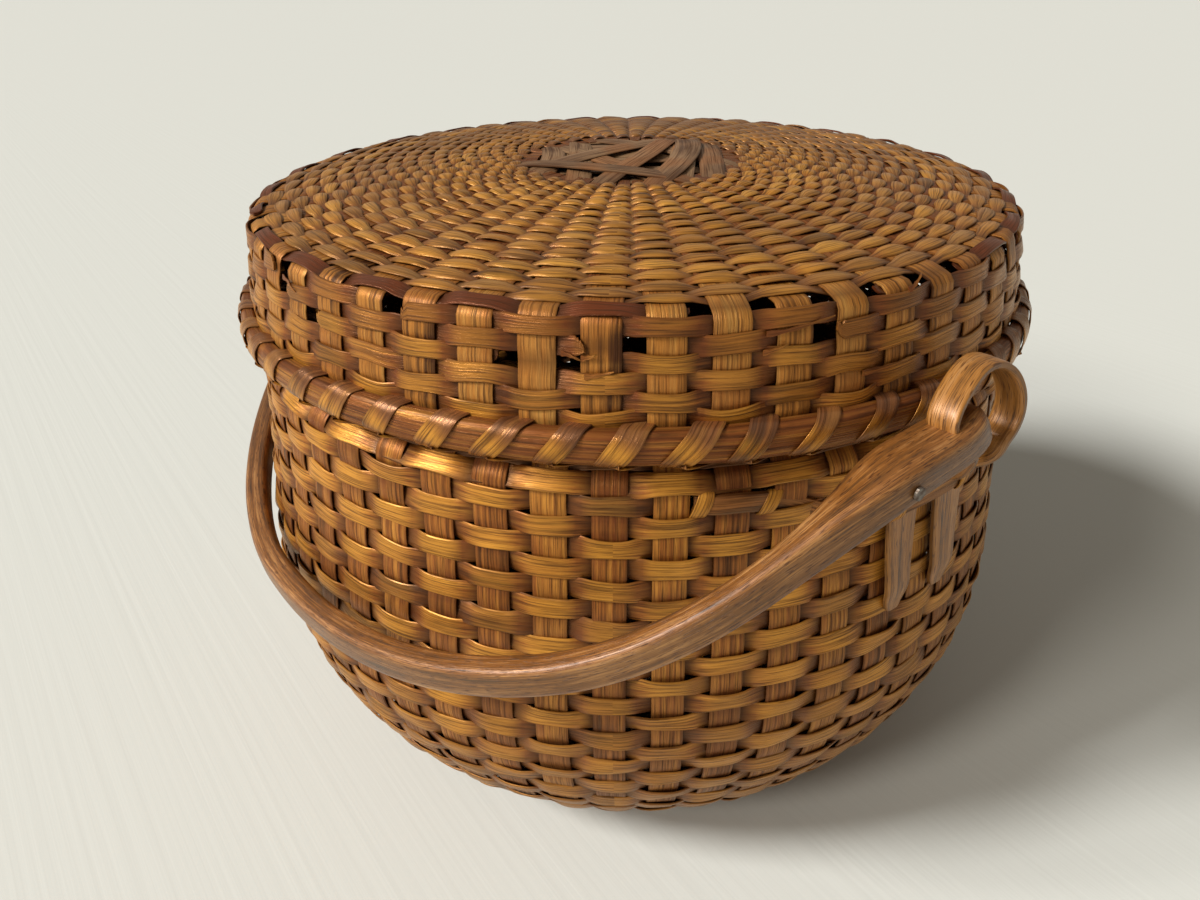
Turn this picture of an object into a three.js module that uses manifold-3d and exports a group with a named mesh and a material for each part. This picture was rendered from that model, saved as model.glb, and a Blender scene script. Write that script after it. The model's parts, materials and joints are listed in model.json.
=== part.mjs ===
// Covered splint basket: a round woven body with a flat foot and a narrow neck, a lift-off lid that
// fits over the neck, and a carved swing handle that turns in two bentwood ears.
// Millimetres, +Z up. The origin is the middle of the foot, the ears stand on +X and -X, and the
// handle hangs toward -Y.
import * as THREE from "three";
import { mergeVertices } from "three/addons/utils/BufferGeometryUtils.js";
import Module from "manifold-3d";

const wasm = await Module();
wasm.setup();

// Counts. One facet of a ring spans two of the 52 upright stakes.
const RING_FACETS = 26;
const BODY_ROWS = 32;
const LID_ROWS = 7;

// The upright stakes are four closed shells, one over the other. Each ends under this row, counted from
// the foot.
const STAKE_SHELL_ENDS = { foot: 8, lower: 16, upper: 26, neck: BODY_ROWS };
const LID_DOME_STEPS = 6;

// Clearances
const clearance = 0.3;
const lidFitClearance = 1.5;
const strapClearance = 0.6;
const cutOverrun = 4;
const mergeDistance = 1e-4;

// Woven body
const footRadius = 100;
const bellySwell = 8.7;
const bellyHeight = 112;
const shoulderInset = 5.2;
const bellyToShoulder = 99;
const shoulderRise = 15;
const neckHeight = 26;
const weaverThickness = 1.9;
const stakeThickness = 1.6;
const rowGap = 0.5;
const baseThickness = 1.9;
const footCurvePower = 2;
const bellyCurvePower = 1.7;

// Rim of the body, hidden under the lid
const bodyHoopHeight = 12;
const bodyOuterHoopThickness = 2.6;
const bodyInnerHoopThickness = 2.8;
const neckBandHeight = 9;
const neckBandRise = 1.5;

// Lid
const lidRimRadius = 180;
const lidHeight = 51.4;
const lidHoopHeight = 12.6;
const lidOuterHoopThickness = 6.3;
const lidInnerHoopThickness = 2.8;
const lidStakeThickness = 1.4;
const lidWallDraft = 4;
const lidCornerRadius = 8.5;
const lidDome = 11;
const lidTopWeaveRadius = 156;
const lidTopWeaveThickness = 1.6;
const lashingThickness = 0.8;

// Bentwood ears
const pivotRise = 10;
const earStandOff = 13.5;
const earStrapWidth = 11;
const earStrapThickness = 3;
const earLoopRadius = 16.2;
const earLegSpacing = 24;
const earLegDrop = 26;
const earLegLength = 59;
const earLegEndWidth = 8;
const earLoopHalfTurn = THREE.MathUtils.degToRad(150);
const EAR_LOOP_STEPS = 10;
const EAR_NECK_STEPS = 5;
const EAR_LEG_STEPS = 4;

// Lashed band over the legs of each ear
const earBandWidth = 8;
const earBandThickness = 1.4;
const earBandDrop = 5;
const earBandEndDrop = 16;
const earBandFlat = THREE.MathUtils.degToRad(9);
const earBandSlope = THREE.MathUtils.degToRad(15);
const earBandFrontTurn = THREE.MathUtils.degToRad(33);
const earBandBackTurn = THREE.MathUtils.degToRad(30);
const EAR_BAND_STEPS = 16;

// Swing handle
const handleOverhang = 34;
const handleRestGap = 0.2;
const eyeLength = 30;
const eyeWidth = 21.6;
const eyeThickness = 14;
const eyeTipPlace = 6.4;
const eyeTipLength = 4.8;
const eyeSlotLength = 21;
const gripWidth = 10;
const gripThickness = 13;
const eyeTaperLength = 60;
const bowFullnessRight = 2.25;
const bowFullnessLeft = 1.75;
const bowRise = 12;
const bowRisePlace = 46;
const bowRiseEnd = 170;
const BOW_STEPS = 44;
const handleCornerShare = 0.55;

// Nail that closes each eye of the handle
const nailRadius = 1;
const nailHeadRadius = 2.4;
const nailHeadThickness = 0.9;
const nailLength = 15;
const nailPlace = 48;
const NAIL_SIDES = 10;

// Finishes
const honeySplint = { color: 0xb5763a, roughness: 0.5, metalness: 0 };
const darkSplint = { color: 0x8c5a30, roughness: 0.55, metalness: 0 };
const paleSplint = { color: 0xc48a48, roughness: 0.45, metalness: 0 };
const oldHandleWood = { color: 0x6b5038, roughness: 0.45, metalness: 0 };
const oldIron = { color: 0x4a4038, roughness: 0.6, metalness: 0.8 };

const { lerp, smoothstep } = THREE.MathUtils;

// Geometry with shared vertices and only positions, its faces pointing out.
function closed(geometry) {
  geometry.deleteAttribute("normal");
  geometry.deleteAttribute("uv");
  const merged = mergeVertices(geometry, mergeDistance);
  const place = merged.getAttribute("position");
  const corner = [new THREE.Vector3(), new THREE.Vector3(), new THREE.Vector3()];
  const kept = [];
  let volume = 0;
  for (let i = 0; i < merged.index.count; i += 3) {
    const face = [0, 1, 2].map((k) => merged.index.getX(i + k));
    if (new Set(face).size < 3) continue;
    corner.forEach((c, k) => c.fromBufferAttribute(place, face[k]));
    volume += corner[0].dot(corner[1].clone().cross(corner[2]));
    kept.push(face);
  }
  if (volume < 0) kept.forEach((face) => face.reverse());
  merged.setIndex(kept.flat());
  return merged;
}

// A ring about +Z with the closed outline of [radius, height] points. A point on the axis is allowed.
function ring(outline) {
  const points = [...outline, outline[0]].map(([r, z]) => new THREE.Vector2(r, z));
  const lathe = new THREE.LatheGeometry(points, RING_FACETS);
  return closed(lathe.rotateX(Math.PI / 2));
}

// A solid through a row of sections, each the same number of points round, with flat ends.
function loft(sections) {
  const sides = sections[0].length;
  const positions = sections.flat().flatMap((p) => p.toArray());
  const faces = [];
  for (let i = 0; i + 1 < sections.length; i++) {
    for (let k = 0; k < sides; k++) {
      const a = i * sides + k;
      const b = i * sides + ((k + 1) % sides);
      faces.push(a, b, b + sides, a, b + sides, a + sides);
    }
  }
  const last = (sections.length - 1) * sides;
  for (let k = 1; k + 1 < sides; k++) {
    faces.push(0, k + 1, k, last, last + k, last + k + 1);
  }
  const geometry = new THREE.BufferGeometry();
  geometry.setAttribute("position", new THREE.Float32BufferAttribute(positions, 3));
  return closed(geometry.setIndex(faces));
}

function toSolid(geometry) {
  return new wasm.Manifold(
    new wasm.Mesh({
      numProp: 3,
      vertProperties: new Float32Array(geometry.getAttribute("position").array),
      triVerts: new Uint32Array(geometry.index.array),
    }),
  );
}

function fromSolid(solid) {
  const mesh = solid.getMesh();
  const geometry = new THREE.BufferGeometry();
  geometry.setAttribute("position", new THREE.Float32BufferAttribute(mesh.vertProperties, 3));
  return geometry.setIndex([...mesh.triVerts]);
}

function named(name, geometry, finish) {
  const mesh = new THREE.Mesh(geometry, new THREE.MeshStandardMaterial(finish));
  mesh.name = name;
  return mesh;
}

// An outline of [radius, height] points that is read by the distance along it.
class Outline {
  constructor(points) {
    this.points = points;
    this.runs = [0];
    for (let i = 1; i < points.length; i++) {
      const [r0, z0] = points[i - 1];
      const [r1, z1] = points[i];
      this.runs.push(this.runs[i - 1] + Math.hypot(r1 - r0, z1 - z0));
    }
    this.length = this.runs.at(-1);
  }

  // The point at a distance along the outline, moved out by an offset square to it.
  at(distance, offset) {
    let i = 1;
    while (i + 1 < this.runs.length && this.runs[i] < distance) i++;
    const [r0, z0] = this.points[i - 1];
    const [r1, z1] = this.points[i];
    const run = this.runs[i] - this.runs[i - 1];
    const share = (distance - this.runs[i - 1]) / run;
    const outR = (z1 - z0) / run;
    const outZ = (r0 - r1) / run;
    return [lerp(r0, r1, share) + outR * offset, lerp(z0, z1, share) + outZ * offset];
  }
}

// The four corners of a splint laid along an outline, flat against what is under it.
function splintSection(outline, from, to, thickness) {
  return [outline.at(from, 0), outline.at(to, 0), outline.at(to, -thickness), outline.at(from, -thickness)];
}

// Main radii and heights
const shoulderRadius = lidRimRadius - shoulderInset;
const bellyRadius = shoulderRadius + bellySwell;
const shoulderHeight = bellyHeight + bellyToShoulder;
const pivotHalfSpan = lidRimRadius + earStandOff;
const handleDepth = lidRimRadius + handleOverhang;

// Radii through the lid rim and the body rim, from the outside in
const lidHoopOuter = lidRimRadius - lashingThickness - clearance;
const lidStakeOuter = lidHoopOuter - lidOuterHoopThickness - clearance;
const lidStakeInner = lidStakeOuter - lidStakeThickness;
const lidInnerHoopOuter = lidStakeInner - clearance;
const lidInnerHoopInner = lidInnerHoopOuter - lidInnerHoopThickness;
const lidLashingInner = lidInnerHoopInner - clearance - lashingThickness;
const bodyLashingOuter = lidLashingInner - lidFitClearance;
const bodyHoopOuter = bodyLashingOuter - lashingThickness - clearance;
const neckStakeOuter = bodyHoopOuter - bodyOuterHoopThickness - clearance;
const neckStakeInner = neckStakeOuter - stakeThickness;
const bodyInnerHoopOuter = neckStakeInner - clearance;
const bodyInnerHoopInner = bodyInnerHoopOuter - bodyInnerHoopThickness;
const neckRadius = neckStakeOuter + clearance + weaverThickness;
const stakeInset = clearance + weaverThickness;

// Heights
const neckStart = shoulderHeight + shoulderRise;
const neckTop = neckStart + neckHeight;
const pivotHeight = neckStart + pivotRise;
const earLegTop = neckStart - earLegDrop;
const earLegBottom = earLegTop - earLegLength;
const earBandHeight = earLegTop - earBandDrop;
const earBandEndHeight = neckStart - earBandEndDrop;
const shoulderWidth = shoulderRadius - neckRadius;

// Outside of the woven body, from the edge of the foot up to the top of the neck
function bodyRadiusAt(height) {
  if (height <= bellyHeight) {
    const share = 1 - height / bellyHeight;
    return lerp(footRadius, bellyRadius, (1 - share ** footCurvePower) ** (1 / bellyCurvePower));
  }
  if (height <= shoulderHeight) {
    return lerp(bellyRadius, shoulderRadius, smoothstep(height, bellyHeight, shoulderHeight));
  }
  const share = Math.min(1, (height - shoulderHeight) / shoulderRise);
  return neckRadius + shoulderWidth * Math.sqrt(1 - share ** 2);
}

function bodyOutline() {
  const steps = 36;
  const points = [];
  for (let i = 0; i < steps; i++) {
    const z = bellyHeight * (1 - Math.cos(((i / steps) * Math.PI) / 2));
    points.push([bodyRadiusAt(z), z]);
  }
  for (let i = 0; i < steps; i++) {
    const z = lerp(bellyHeight, shoulderHeight, i / steps);
    points.push([bodyRadiusAt(z), z]);
  }
  for (let i = 0; i <= steps; i++) {
    const turn = ((i / steps) * Math.PI) / 2;
    const z = shoulderHeight + shoulderRise * Math.sin(turn);
    points.push([neckRadius + shoulderWidth * Math.cos(turn), z]);
  }
  return new Outline(points);
}

// The rows of the body lie side by side along its outline, the first one at the top.
const bodyLine = bodyOutline();
const bodyPitch = bodyLine.length / BODY_ROWS;

function bodyRow(row) {
  const top = bodyLine.length - row * bodyPitch - rowGap / 2;
  return splintSection(bodyLine, top - bodyPitch + rowGap, top, weaverThickness);
}

// The lid rests on the shoulder: the inner edge of its lashing sits just above the row below it.
function seatHeight() {
  for (let row = 0; row < BODY_ROWS; row++) {
    const [[lowRadius, low], [highRadius, high]] = bodyRow(row);
    if (lowRadius >= lidLashingInner) {
      const share = (lidLashingInner - highRadius) / (lowRadius - highRadius);
      return lerp(high, low, share);
    }
  }
  return neckStart;
}

const lidBottom = seatHeight() + clearance;
const lidTop = lidBottom + lidHeight;
const lidHoopBottom = lidBottom + lashingThickness + clearance;
const lidHoopTop = lidHoopBottom + lidHoopHeight;

// Outside of the lid, from the bottom of its wall up and in to the edge of its domed top
function lidOutline() {
  const steps = 12;
  const outer = lidStakeOuter + stakeInset;
  const cornerStart = lidTop - lidCornerRadius;
  const points = [[outer, lidHoopTop]];
  for (let i = 0; i <= steps; i++) {
    const turn = ((i / steps) * Math.PI) / 2;
    const r = outer - lidWallDraft - lidCornerRadius * (1 - Math.cos(turn));
    points.push([r, cornerStart + lidCornerRadius * Math.sin(turn)]);
  }
  return new Outline(points);
}

// A line across the domed top of the lid at a depth below its surface, from near the edge to the middle
function domeLine(depth) {
  const edge = lidStakeOuter + stakeInset - lidWallDraft - lidCornerRadius;
  const points = [];
  for (let i = 0; i <= LID_DOME_STEPS; i++) {
    const r = lidTopWeaveRadius * (1 - i / LID_DOME_STEPS);
    points.push([r, lidTop - depth + lidDome * (1 - (r / edge) ** 2)]);
  }
  return points;
}

// A band of lashing that wraps two hoops and the edge between them, open where the wall comes out.
function lashingSection(inner, outer, edge, mouth, wallInner, wallOuter) {
  const turn = Math.sign(mouth - edge);
  const skin = lashingThickness;
  const lip = mouth + turn * (clearance + skin);
  return [
    [wallOuter + clearance, lip],
    [outer, lip],
    [outer, edge],
    [inner, edge],
    [inner, lip],
    [wallInner - clearance, lip],
    [wallInner - clearance, lip - turn * skin],
    [inner + skin, lip - turn * skin],
    [inner + skin, edge + turn * skin],
    [outer - skin, edge + turn * skin],
    [outer - skin, lip - turn * skin],
    [wallOuter + clearance, lip - turn * skin],
  ];
}

// A hoop of split wood: flat toward the wall, rounded away from it.
function hoopSection(flatRadius, roundRadius, bottom, top) {
  const shoulderShare = 0.25;
  const edgeRadius = lerp(flatRadius, roundRadius, 1 - 2 * shoulderShare);
  const rise = (top - bottom) * shoulderShare;
  return [
    [flatRadius, bottom],
    [edgeRadius, bottom],
    [roundRadius, bottom + rise],
    [roundRadius, top - rise],
    [edgeRadius, top],
    [flatRadius, top],
  ];
}

function basket() {
  const group = new THREE.Group();
  const ledge = neckStart - stakeInset;

  let first = 0;
  for (const [part, last] of Object.entries(STAKE_SHELL_ENDS)) {
    const outside = first === 0 ? [[0, stakeInset]] : [];
    const inside = first === 0 ? [[0, stakeInset + stakeThickness]] : [];
    for (let row = first; row <= last; row += 2) {
      let run = row * bodyPitch;
      if (row === first && first > 0) run += clearance / 2;
      if (row === last && last < BODY_ROWS) run -= clearance / 2;
      outside.push(bodyLine.at(run, -stakeInset));
      inside.push(bodyLine.at(run, -stakeInset - stakeThickness));
    }
    if (last === BODY_ROWS) {
      outside.push([neckStakeOuter, ledge], [neckStakeOuter, neckTop]);
      inside.push([neckStakeInner, ledge - stakeThickness], [neckStakeInner, neckTop]);
    }
    group.add(named("body_stakes_" + part, ring([...outside, ...inside.reverse()]), honeySplint));
    first = last;
  }

  const baseRadius = footRadius - clearance;
  const base = [[0, 0], [baseRadius, 0], [baseRadius, baseThickness], [0, baseThickness]];
  group.add(named("base_weave", ring(base), darkSplint));

  for (let row = 0; row < BODY_ROWS; row++) {
    const name = "body_weaver_" + String(row + 1).padStart(2, "0");
    group.add(named(name, ring(bodyRow(row)), honeySplint));
  }

  const bandBottom = neckStart + neckBandRise;
  const bandTop = bandBottom + neckBandHeight;
  const bandInner = neckStakeOuter + clearance;
  const band = [
    [bandInner, bandBottom], [neckRadius, bandBottom], [neckRadius, bandTop], [bandInner, bandTop],
  ];
  group.add(named("neck_band", ring(band), darkSplint));

  const hoopBottom = neckTop - bodyHoopHeight;
  const outerHoop = hoopSection(neckStakeOuter + clearance, bodyHoopOuter, hoopBottom, neckTop);
  const innerHoop = hoopSection(bodyInnerHoopOuter, bodyInnerHoopInner, hoopBottom, neckTop);
  group.add(named("body_rim_outer_hoop", ring(outerHoop), darkSplint));
  group.add(named("body_rim_inner_hoop", ring(innerHoop), darkSplint));

  const lashingInner = bodyInnerHoopInner - clearance - lashingThickness;
  const lashingTop = neckTop + clearance + lashingThickness;
  const lashing = lashingSection(
    lashingInner, bodyLashingOuter, lashingTop, hoopBottom, neckStakeInner, neckStakeOuter,
  );
  group.add(named("body_rim_lashing", ring(lashing), paleSplint));
  return group;
}

function lid() {
  const group = new THREE.Group();
  const outline = lidOutline();
  const wallStart = lidHoopTop + clearance + lashingThickness + clearance;
  const firstRun = wallStart - lidHoopTop;
  const pitch = (outline.length - firstRun) / LID_ROWS;

  const outside = [[lidStakeOuter, lidHoopBottom]];
  const inside = [[lidStakeInner, lidHoopBottom]];
  for (let row = 0; row <= LID_ROWS; row++) {
    const run = firstRun + row * pitch;
    outside.push(outline.at(run, -stakeInset));
    inside.push(outline.at(run, -stakeInset - lidStakeThickness));
  }
  outside.push(...domeLine(stakeInset));
  inside.push(...domeLine(stakeInset + lidStakeThickness));
  group.add(named("lid_stakes", ring([...outside, ...inside.reverse()]), honeySplint));

  const weaveDepth = stakeInset - clearance;
  const weave = [...domeLine(weaveDepth - lidTopWeaveThickness), ...domeLine(weaveDepth).reverse()];
  group.add(named("lid_top_weave", ring(weave), honeySplint));

  for (let row = 0; row < LID_ROWS; row++) {
    const top = outline.length - row * pitch - rowGap / 2;
    const section = splintSection(outline, top - pitch + rowGap, top, weaverThickness);
    group.add(named("lid_weaver_0" + (row + 1), ring(section), row < 2 ? darkSplint : paleSplint));
  }

  const outerHoop = hoopSection(lidStakeOuter + clearance, lidHoopOuter, lidHoopBottom, lidHoopTop);
  const innerHoop = hoopSection(lidInnerHoopOuter, lidInnerHoopInner, lidHoopBottom, lidHoopTop);
  group.add(named("lid_rim_outer_hoop", ring(outerHoop), paleSplint));
  group.add(named("lid_rim_inner_hoop", ring(innerHoop), darkSplint));
  const lashing = lashingSection(
    lidLashingInner, lidRimRadius, lidBottom, lidHoopTop, lidStakeInner, lidStakeOuter,
  );
  group.add(named("lid_rim_lashing", ring(lashing), paleSplint));
  return group;
}

// Corners of a flat strap at each place of its route, with its wide side along the given direction.
function strapSections(route) {
  return route.map(({ place, wide, width, thickness }, i) => {
    const before = route[Math.max(0, i - 1)].place;
    const after = route[Math.min(route.length - 1, i + 1)].place;
    const along = after.clone().sub(before).normalize();
    const across = wide.clone().addScaledVector(along, -wide.dot(along)).normalize();
    const through = along.clone().cross(across);
    const corners = [[-1, -1], [1, -1], [1, 1], [-1, 1]];
    return corners.map(([a, t]) =>
      place
        .clone()
        .addScaledVector(across, (a * width) / 2)
        .addScaledVector(through, (t * thickness) / 2),
    );
  });
}

// Distance of a flat facet of the body from the axis, at a height. One facet faces +X.
const flatOfFacet = Math.cos(Math.PI / RING_FACETS);

function earLegX(height) {
  return bodyRadiusAt(height) * flatOfFacet + clearance + earStrapThickness / 2;
}

// One bentwood ear on +X: a loop that stands clear of the lid, a twisted neck and two flat legs.
function ear() {
  const legY = earLegSpacing / 2;
  const half = [];
  for (let i = 0; i <= EAR_LOOP_STEPS; i++) {
    const turn = (earLoopHalfTurn * i) / EAR_LOOP_STEPS;
    const y = earLoopRadius * Math.sin(turn);
    const z = pivotHeight + earLoopRadius * Math.cos(turn);
    half.push({ place: new THREE.Vector3(pivotHalfSpan, y, z), turn: 0, width: earStrapWidth });
  }
  const start = half.at(-1).place;
  const legTopX = earLegX(earLegTop);
  for (let i = 1; i <= EAR_NECK_STEPS; i++) {
    const share = i / EAR_NECK_STEPS;
    const eased = smoothstep(share, 0, 1);
    const place = new THREE.Vector3(
      lerp(start.x, legTopX, eased), lerp(start.y, legY, eased), lerp(start.z, earLegTop, share),
    );
    half.push({ place, turn: (eased * Math.PI) / 2, width: earStrapWidth });
  }
  for (let i = 1; i <= EAR_LEG_STEPS; i++) {
    const share = i / EAR_LEG_STEPS;
    const z = lerp(earLegTop, earLegBottom, share);
    const place = new THREE.Vector3(earLegX(z), legY, z);
    half.push({ place, turn: Math.PI / 2, width: lerp(earStrapWidth, earLegEndWidth, share) });
  }
  const side = (sign) =>
    half.map(({ place, turn, width }) => ({
      place: new THREE.Vector3(place.x, sign * place.y, place.z),
      wide: new THREE.Vector3(Math.cos(turn), -Math.sin(turn), 0).multiply(new THREE.Vector3(1, sign, 1)),
      width,
      thickness: earStrapThickness,
    }));
  const front = side(-1).slice(1).reverse();
  return loft(strapSections([...front, ...side(1)]));
}

// The lashed band that holds the legs of an ear to the wall: over the legs, then down to the wall.
function earBand() {
  const route = [];
  for (let i = 0; i <= EAR_BAND_STEPS; i++) {
    const turn = lerp(-earBandFrontTurn, earBandBackTurn, i / EAR_BAND_STEPS);
    const lift = 1 - smoothstep(Math.abs(turn), earBandFlat, earBandSlope);
    const fall = smoothstep(Math.abs(turn), earBandFlat, earBandFrontTurn);
    const height = lerp(earBandHeight, earBandEndHeight, fall);
    const foot = height - earBandWidth / 2;
    const legCorner = Math.hypot(earLegX(foot) + earStrapThickness / 2, (earLegSpacing + earStrapWidth) / 2);
    const radius = lerp(bodyRadiusAt(foot), legCorner, lift) + clearance + earBandThickness / 2;
    route.push({
      place: new THREE.Vector3(radius * Math.cos(turn), radius * Math.sin(turn), height),
      wide: new THREE.Vector3(0, 0, 1),
      width: earBandWidth,
      thickness: earBandThickness,
    });
  }
  return loft(strapSections(route));
}

function ears() {
  const group = new THREE.Group();
  for (const [side, turn] of [["right", 0], ["left", Math.PI]]) {
    const pair = new THREE.Group();
    pair.add(named("ear_" + side, ear(), oldHandleWood));
    pair.add(named("ear_band_" + side, earBand(), paleSplint));
    pair.rotation.z = turn;
    group.add(pair);
  }
  return group;
}

// Centre line of the handle in its own plane: x across, y out from the pivot axis.
function bowLine() {
  const bowDepth = handleDepth - eyeLength;
  const dense = 400;
  const points = [[pivotHalfSpan, eyeTipPlace]];
  for (let i = 0; i <= dense; i++) {
    const turn = (Math.PI * i) / dense;
    const fullness = 2 / (turn < Math.PI / 2 ? bowFullnessRight : bowFullnessLeft);
    const x = pivotHalfSpan * Math.sign(Math.cos(turn)) * Math.abs(Math.cos(turn)) ** fullness;
    points.push([x, eyeLength + bowDepth * Math.abs(Math.sin(turn)) ** fullness]);
  }
  points.push([-pivotHalfSpan, eyeTipPlace]);
  return new Outline(points);
}

// How far the bow arches up out of its plane beside the eyes, by the distance from its nearer tip.
function bowRiseAt(near) {
  return bowRise * smoothstep(near, 0, bowRisePlace) * (1 - smoothstep(near, bowRisePlace, bowRiseEnd));
}

// Sections along the bow, with z square to its plane
function bowSections() {
  const line = bowLine();
  const cornerShares = [[1, handleCornerShare], [handleCornerShare, 1]];
  const runs = [0, eyeLength];
  for (let i = 1; i < BOW_STEPS; i++) {
    runs.push(lerp(eyeLength, line.length - eyeLength, i / BOW_STEPS));
  }
  runs.push(line.length - eyeLength, line.length);
  return runs.map((run) => {
    const [x, y] = line.at(run, 0);
    const [outX, outY] = line.at(run, 1);
    const near = Math.min(run, line.length - run);
    const rise = bowRiseAt(near);
    const grip = smoothstep(near, eyeLength, eyeLength + eyeTaperLength);
    const width = lerp(eyeWidth, gripWidth, grip) / 2;
    const thickness = lerp(eyeThickness, gripThickness, grip) / 2;
    const quarter = (a, t) => {
      const shares = a * t > 0 ? cornerShares : [...cornerShares].reverse();
      return shares.map(([w, h]) => [a * w * width, t * h * thickness]);
    };
    const corners = [...quarter(1, 1), ...quarter(-1, 1), ...quarter(-1, -1), ...quarter(1, -1)];
    return corners.map(([w, h]) => new THREE.Vector3(x + (outX - x) * w, -(y + (outY - y) * w), rise + h));
  });
}

// The bow rests on the belly: the last whole degree below level at which it still clears the body.
function restAngle(sections) {
  const clears = (angle) =>
    sections.flat().every((corner) => {
      const place = corner.clone().applyAxisAngle(new THREE.Vector3(1, 0, 0), angle);
      const height = Math.max(0, place.z + pivotHeight);
      return Math.hypot(place.x, place.y) > bodyRadiusAt(height) + handleRestGap;
    });
  let degrees = 0;
  while (degrees < 90 && clears(THREE.MathUtils.degToRad(degrees + 1))) degrees++;
  return THREE.MathUtils.degToRad(degrees);
}

// A nail along +X with its head outermost, or with some extra all round the room that it needs.
function nail(extra) {
  const shank = nailRadius + extra;
  const tip = -nailLength - extra;
  const top = clearance + nailHeadThickness;
  const profile = [
    [0, tip], [shank, tip], [shank, clearance - extra], [nailHeadRadius + extra, clearance - extra],
    [nailHeadRadius + extra, top], [0, top],
  ];
  const outline = profile.map(([r, y]) => new THREE.Vector2(r, y));
  return closed(new THREE.LatheGeometry(outline, NAIL_SIDES).rotateZ(-Math.PI / 2));
}

function swingHandle() {
  const slotWidth = earStrapWidth + 2 * strapClearance;
  const cuts = [];
  for (const side of [1, -1]) {
    const slot = new THREE.BoxGeometry(slotWidth, eyeSlotLength, 2 * bowRise + eyeThickness + cutOverrun);
    slot.translate(side * pivotHalfSpan, -(eyeTipPlace + eyeTipLength + eyeSlotLength / 2), 0);
    cuts.push(toSolid(closed(slot)));
  }
  const line = bowLine();
  const nailRun = nailPlace - eyeTipPlace;
  const nails = new THREE.Group();
  const group = new THREE.Group();
  for (const [name, side, run] of [
    ["handle_nail_right", 1, nailRun],
    ["handle_nail_left", -1, line.length - nailRun],
  ]) {
    const grip = smoothstep(nailRun, eyeLength, eyeLength + eyeTaperLength);
    const [x, y] = line.at(run, 0);
    const face = Math.abs(x) + lerp(eyeWidth, gripWidth, grip) / 2;
    const place = (geometry) => {
      if (side < 0) geometry.rotateZ(Math.PI);
      return geometry.translate(side * face, -y, bowRiseAt(nailRun));
    };
    cuts.push(toSolid(closed(place(nail(clearance)))));
    nails.add(named(name, place(nail(0)), oldIron));
  }
  const sections = bowSections();
  const solid = cuts.reduce((left, cut) => left.subtract(cut), toSolid(loft(sections)));
  group.add(named("handle", fromSolid(solid), oldHandleWood));
  group.add(nails);
  group.position.z = pivotHeight;
  group.rotation.x = restAngle(sections);
  return group;
}

const coveredBasket = new THREE.Group();
coveredBasket.add(basket(), ears(), lid(), swingHandle());

export default coveredBasket;
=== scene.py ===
import json
import math
from functools import partial

import bpy
import numpy as np
from bpy.props import FloatProperty, FloatVectorProperty, IntProperty, PointerProperty
from bpy.types import Operator, Panel, PropertyGroup
from mathutils import Matrix, Vector


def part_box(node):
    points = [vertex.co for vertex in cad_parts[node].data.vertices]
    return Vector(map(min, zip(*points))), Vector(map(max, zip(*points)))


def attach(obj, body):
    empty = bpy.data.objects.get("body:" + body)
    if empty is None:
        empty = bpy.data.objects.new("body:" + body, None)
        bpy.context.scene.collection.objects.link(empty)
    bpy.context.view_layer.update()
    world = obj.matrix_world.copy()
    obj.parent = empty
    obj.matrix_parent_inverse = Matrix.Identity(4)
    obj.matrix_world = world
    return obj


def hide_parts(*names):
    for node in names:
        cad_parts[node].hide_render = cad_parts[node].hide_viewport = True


bl_info = {
    "name": "Covered splint basket",
    "version": (1, 0, 0),
    "blender": (4, 5, 0),
    "location": "3D View > Sidebar > Basket",
    "description": "A round woven basket with a lift-off lid and a swing handle, around its packed part",
    "category": "Object",
}

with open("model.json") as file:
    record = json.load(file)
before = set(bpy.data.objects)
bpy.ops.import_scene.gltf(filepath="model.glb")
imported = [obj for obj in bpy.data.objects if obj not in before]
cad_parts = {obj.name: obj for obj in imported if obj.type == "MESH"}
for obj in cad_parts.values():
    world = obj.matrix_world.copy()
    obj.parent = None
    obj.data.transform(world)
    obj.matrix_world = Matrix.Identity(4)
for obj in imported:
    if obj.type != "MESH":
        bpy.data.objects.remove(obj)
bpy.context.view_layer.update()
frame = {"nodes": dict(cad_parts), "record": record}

# All shapes are worked out in millimetres, with azimuths from -Y toward +X, and scaled once.
MM = 0.001
TAU = 2 * math.pi
SEED = 7
UP = np.array([0.0, 0.0, 1.0])


def cad_box(*nodes):
    """Lowest and highest corner of CAD nodes together, in millimetres."""
    boxes = [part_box(node) for node in nodes]
    low = np.min([tuple(box[0]) for box in boxes], axis=0)
    high = np.max([tuple(box[1]) for box in boxes], axis=0)
    return low / MM, high / MM


def linear(hex_colour):
    """An sRGB hex colour as linear RGB."""
    values = [int(hex_colour[i:i + 2], 16) / 255 for i in (1, 3, 5)]
    return tuple(v / 12.92 if v <= 0.04045 else ((v + 0.055) / 1.055) ** 2.4 for v in values)


def colour_setting(name, hex_colour, description):
    return FloatVectorProperty(
        name=name, description=description, default=linear(hex_colour), subtype="COLOR", size=3,
        min=0.0, max=1.0)


def length_setting(name, millimetres, description):
    return FloatProperty(
        name=name, description=description, default=millimetres * MM, unit="LENGTH", subtype="DISTANCE",
        min=0.0, precision=4)


class WeaveSettings(PropertyGroup):
    """Sizes of the splints and how tightly they are woven."""

    stakes: IntProperty(
        name="Stakes", description="Upright splints round the basket, an even number", default=52, min=8)
    stake_width: length_setting("Stake width", 12.3, "Width of an upright splint at the belly")
    splint_thickness: length_setting("Splint thickness", 0.9, "Thickness of the shaved splints")
    body_weaver_width: length_setting("Body weaver width", 7.6, "Width of the body's woven rows")
    top_weaver_width: length_setting("Top weaver width", 6.6, "Width of the rows on the lid's top")
    weave_lift: length_setting("Weave lift", 1.15, "How far a row rises over a stake from the middle")
    stake_lift: length_setting("Stake lift", 0.35, "How far a stake bends behind a row")


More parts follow.
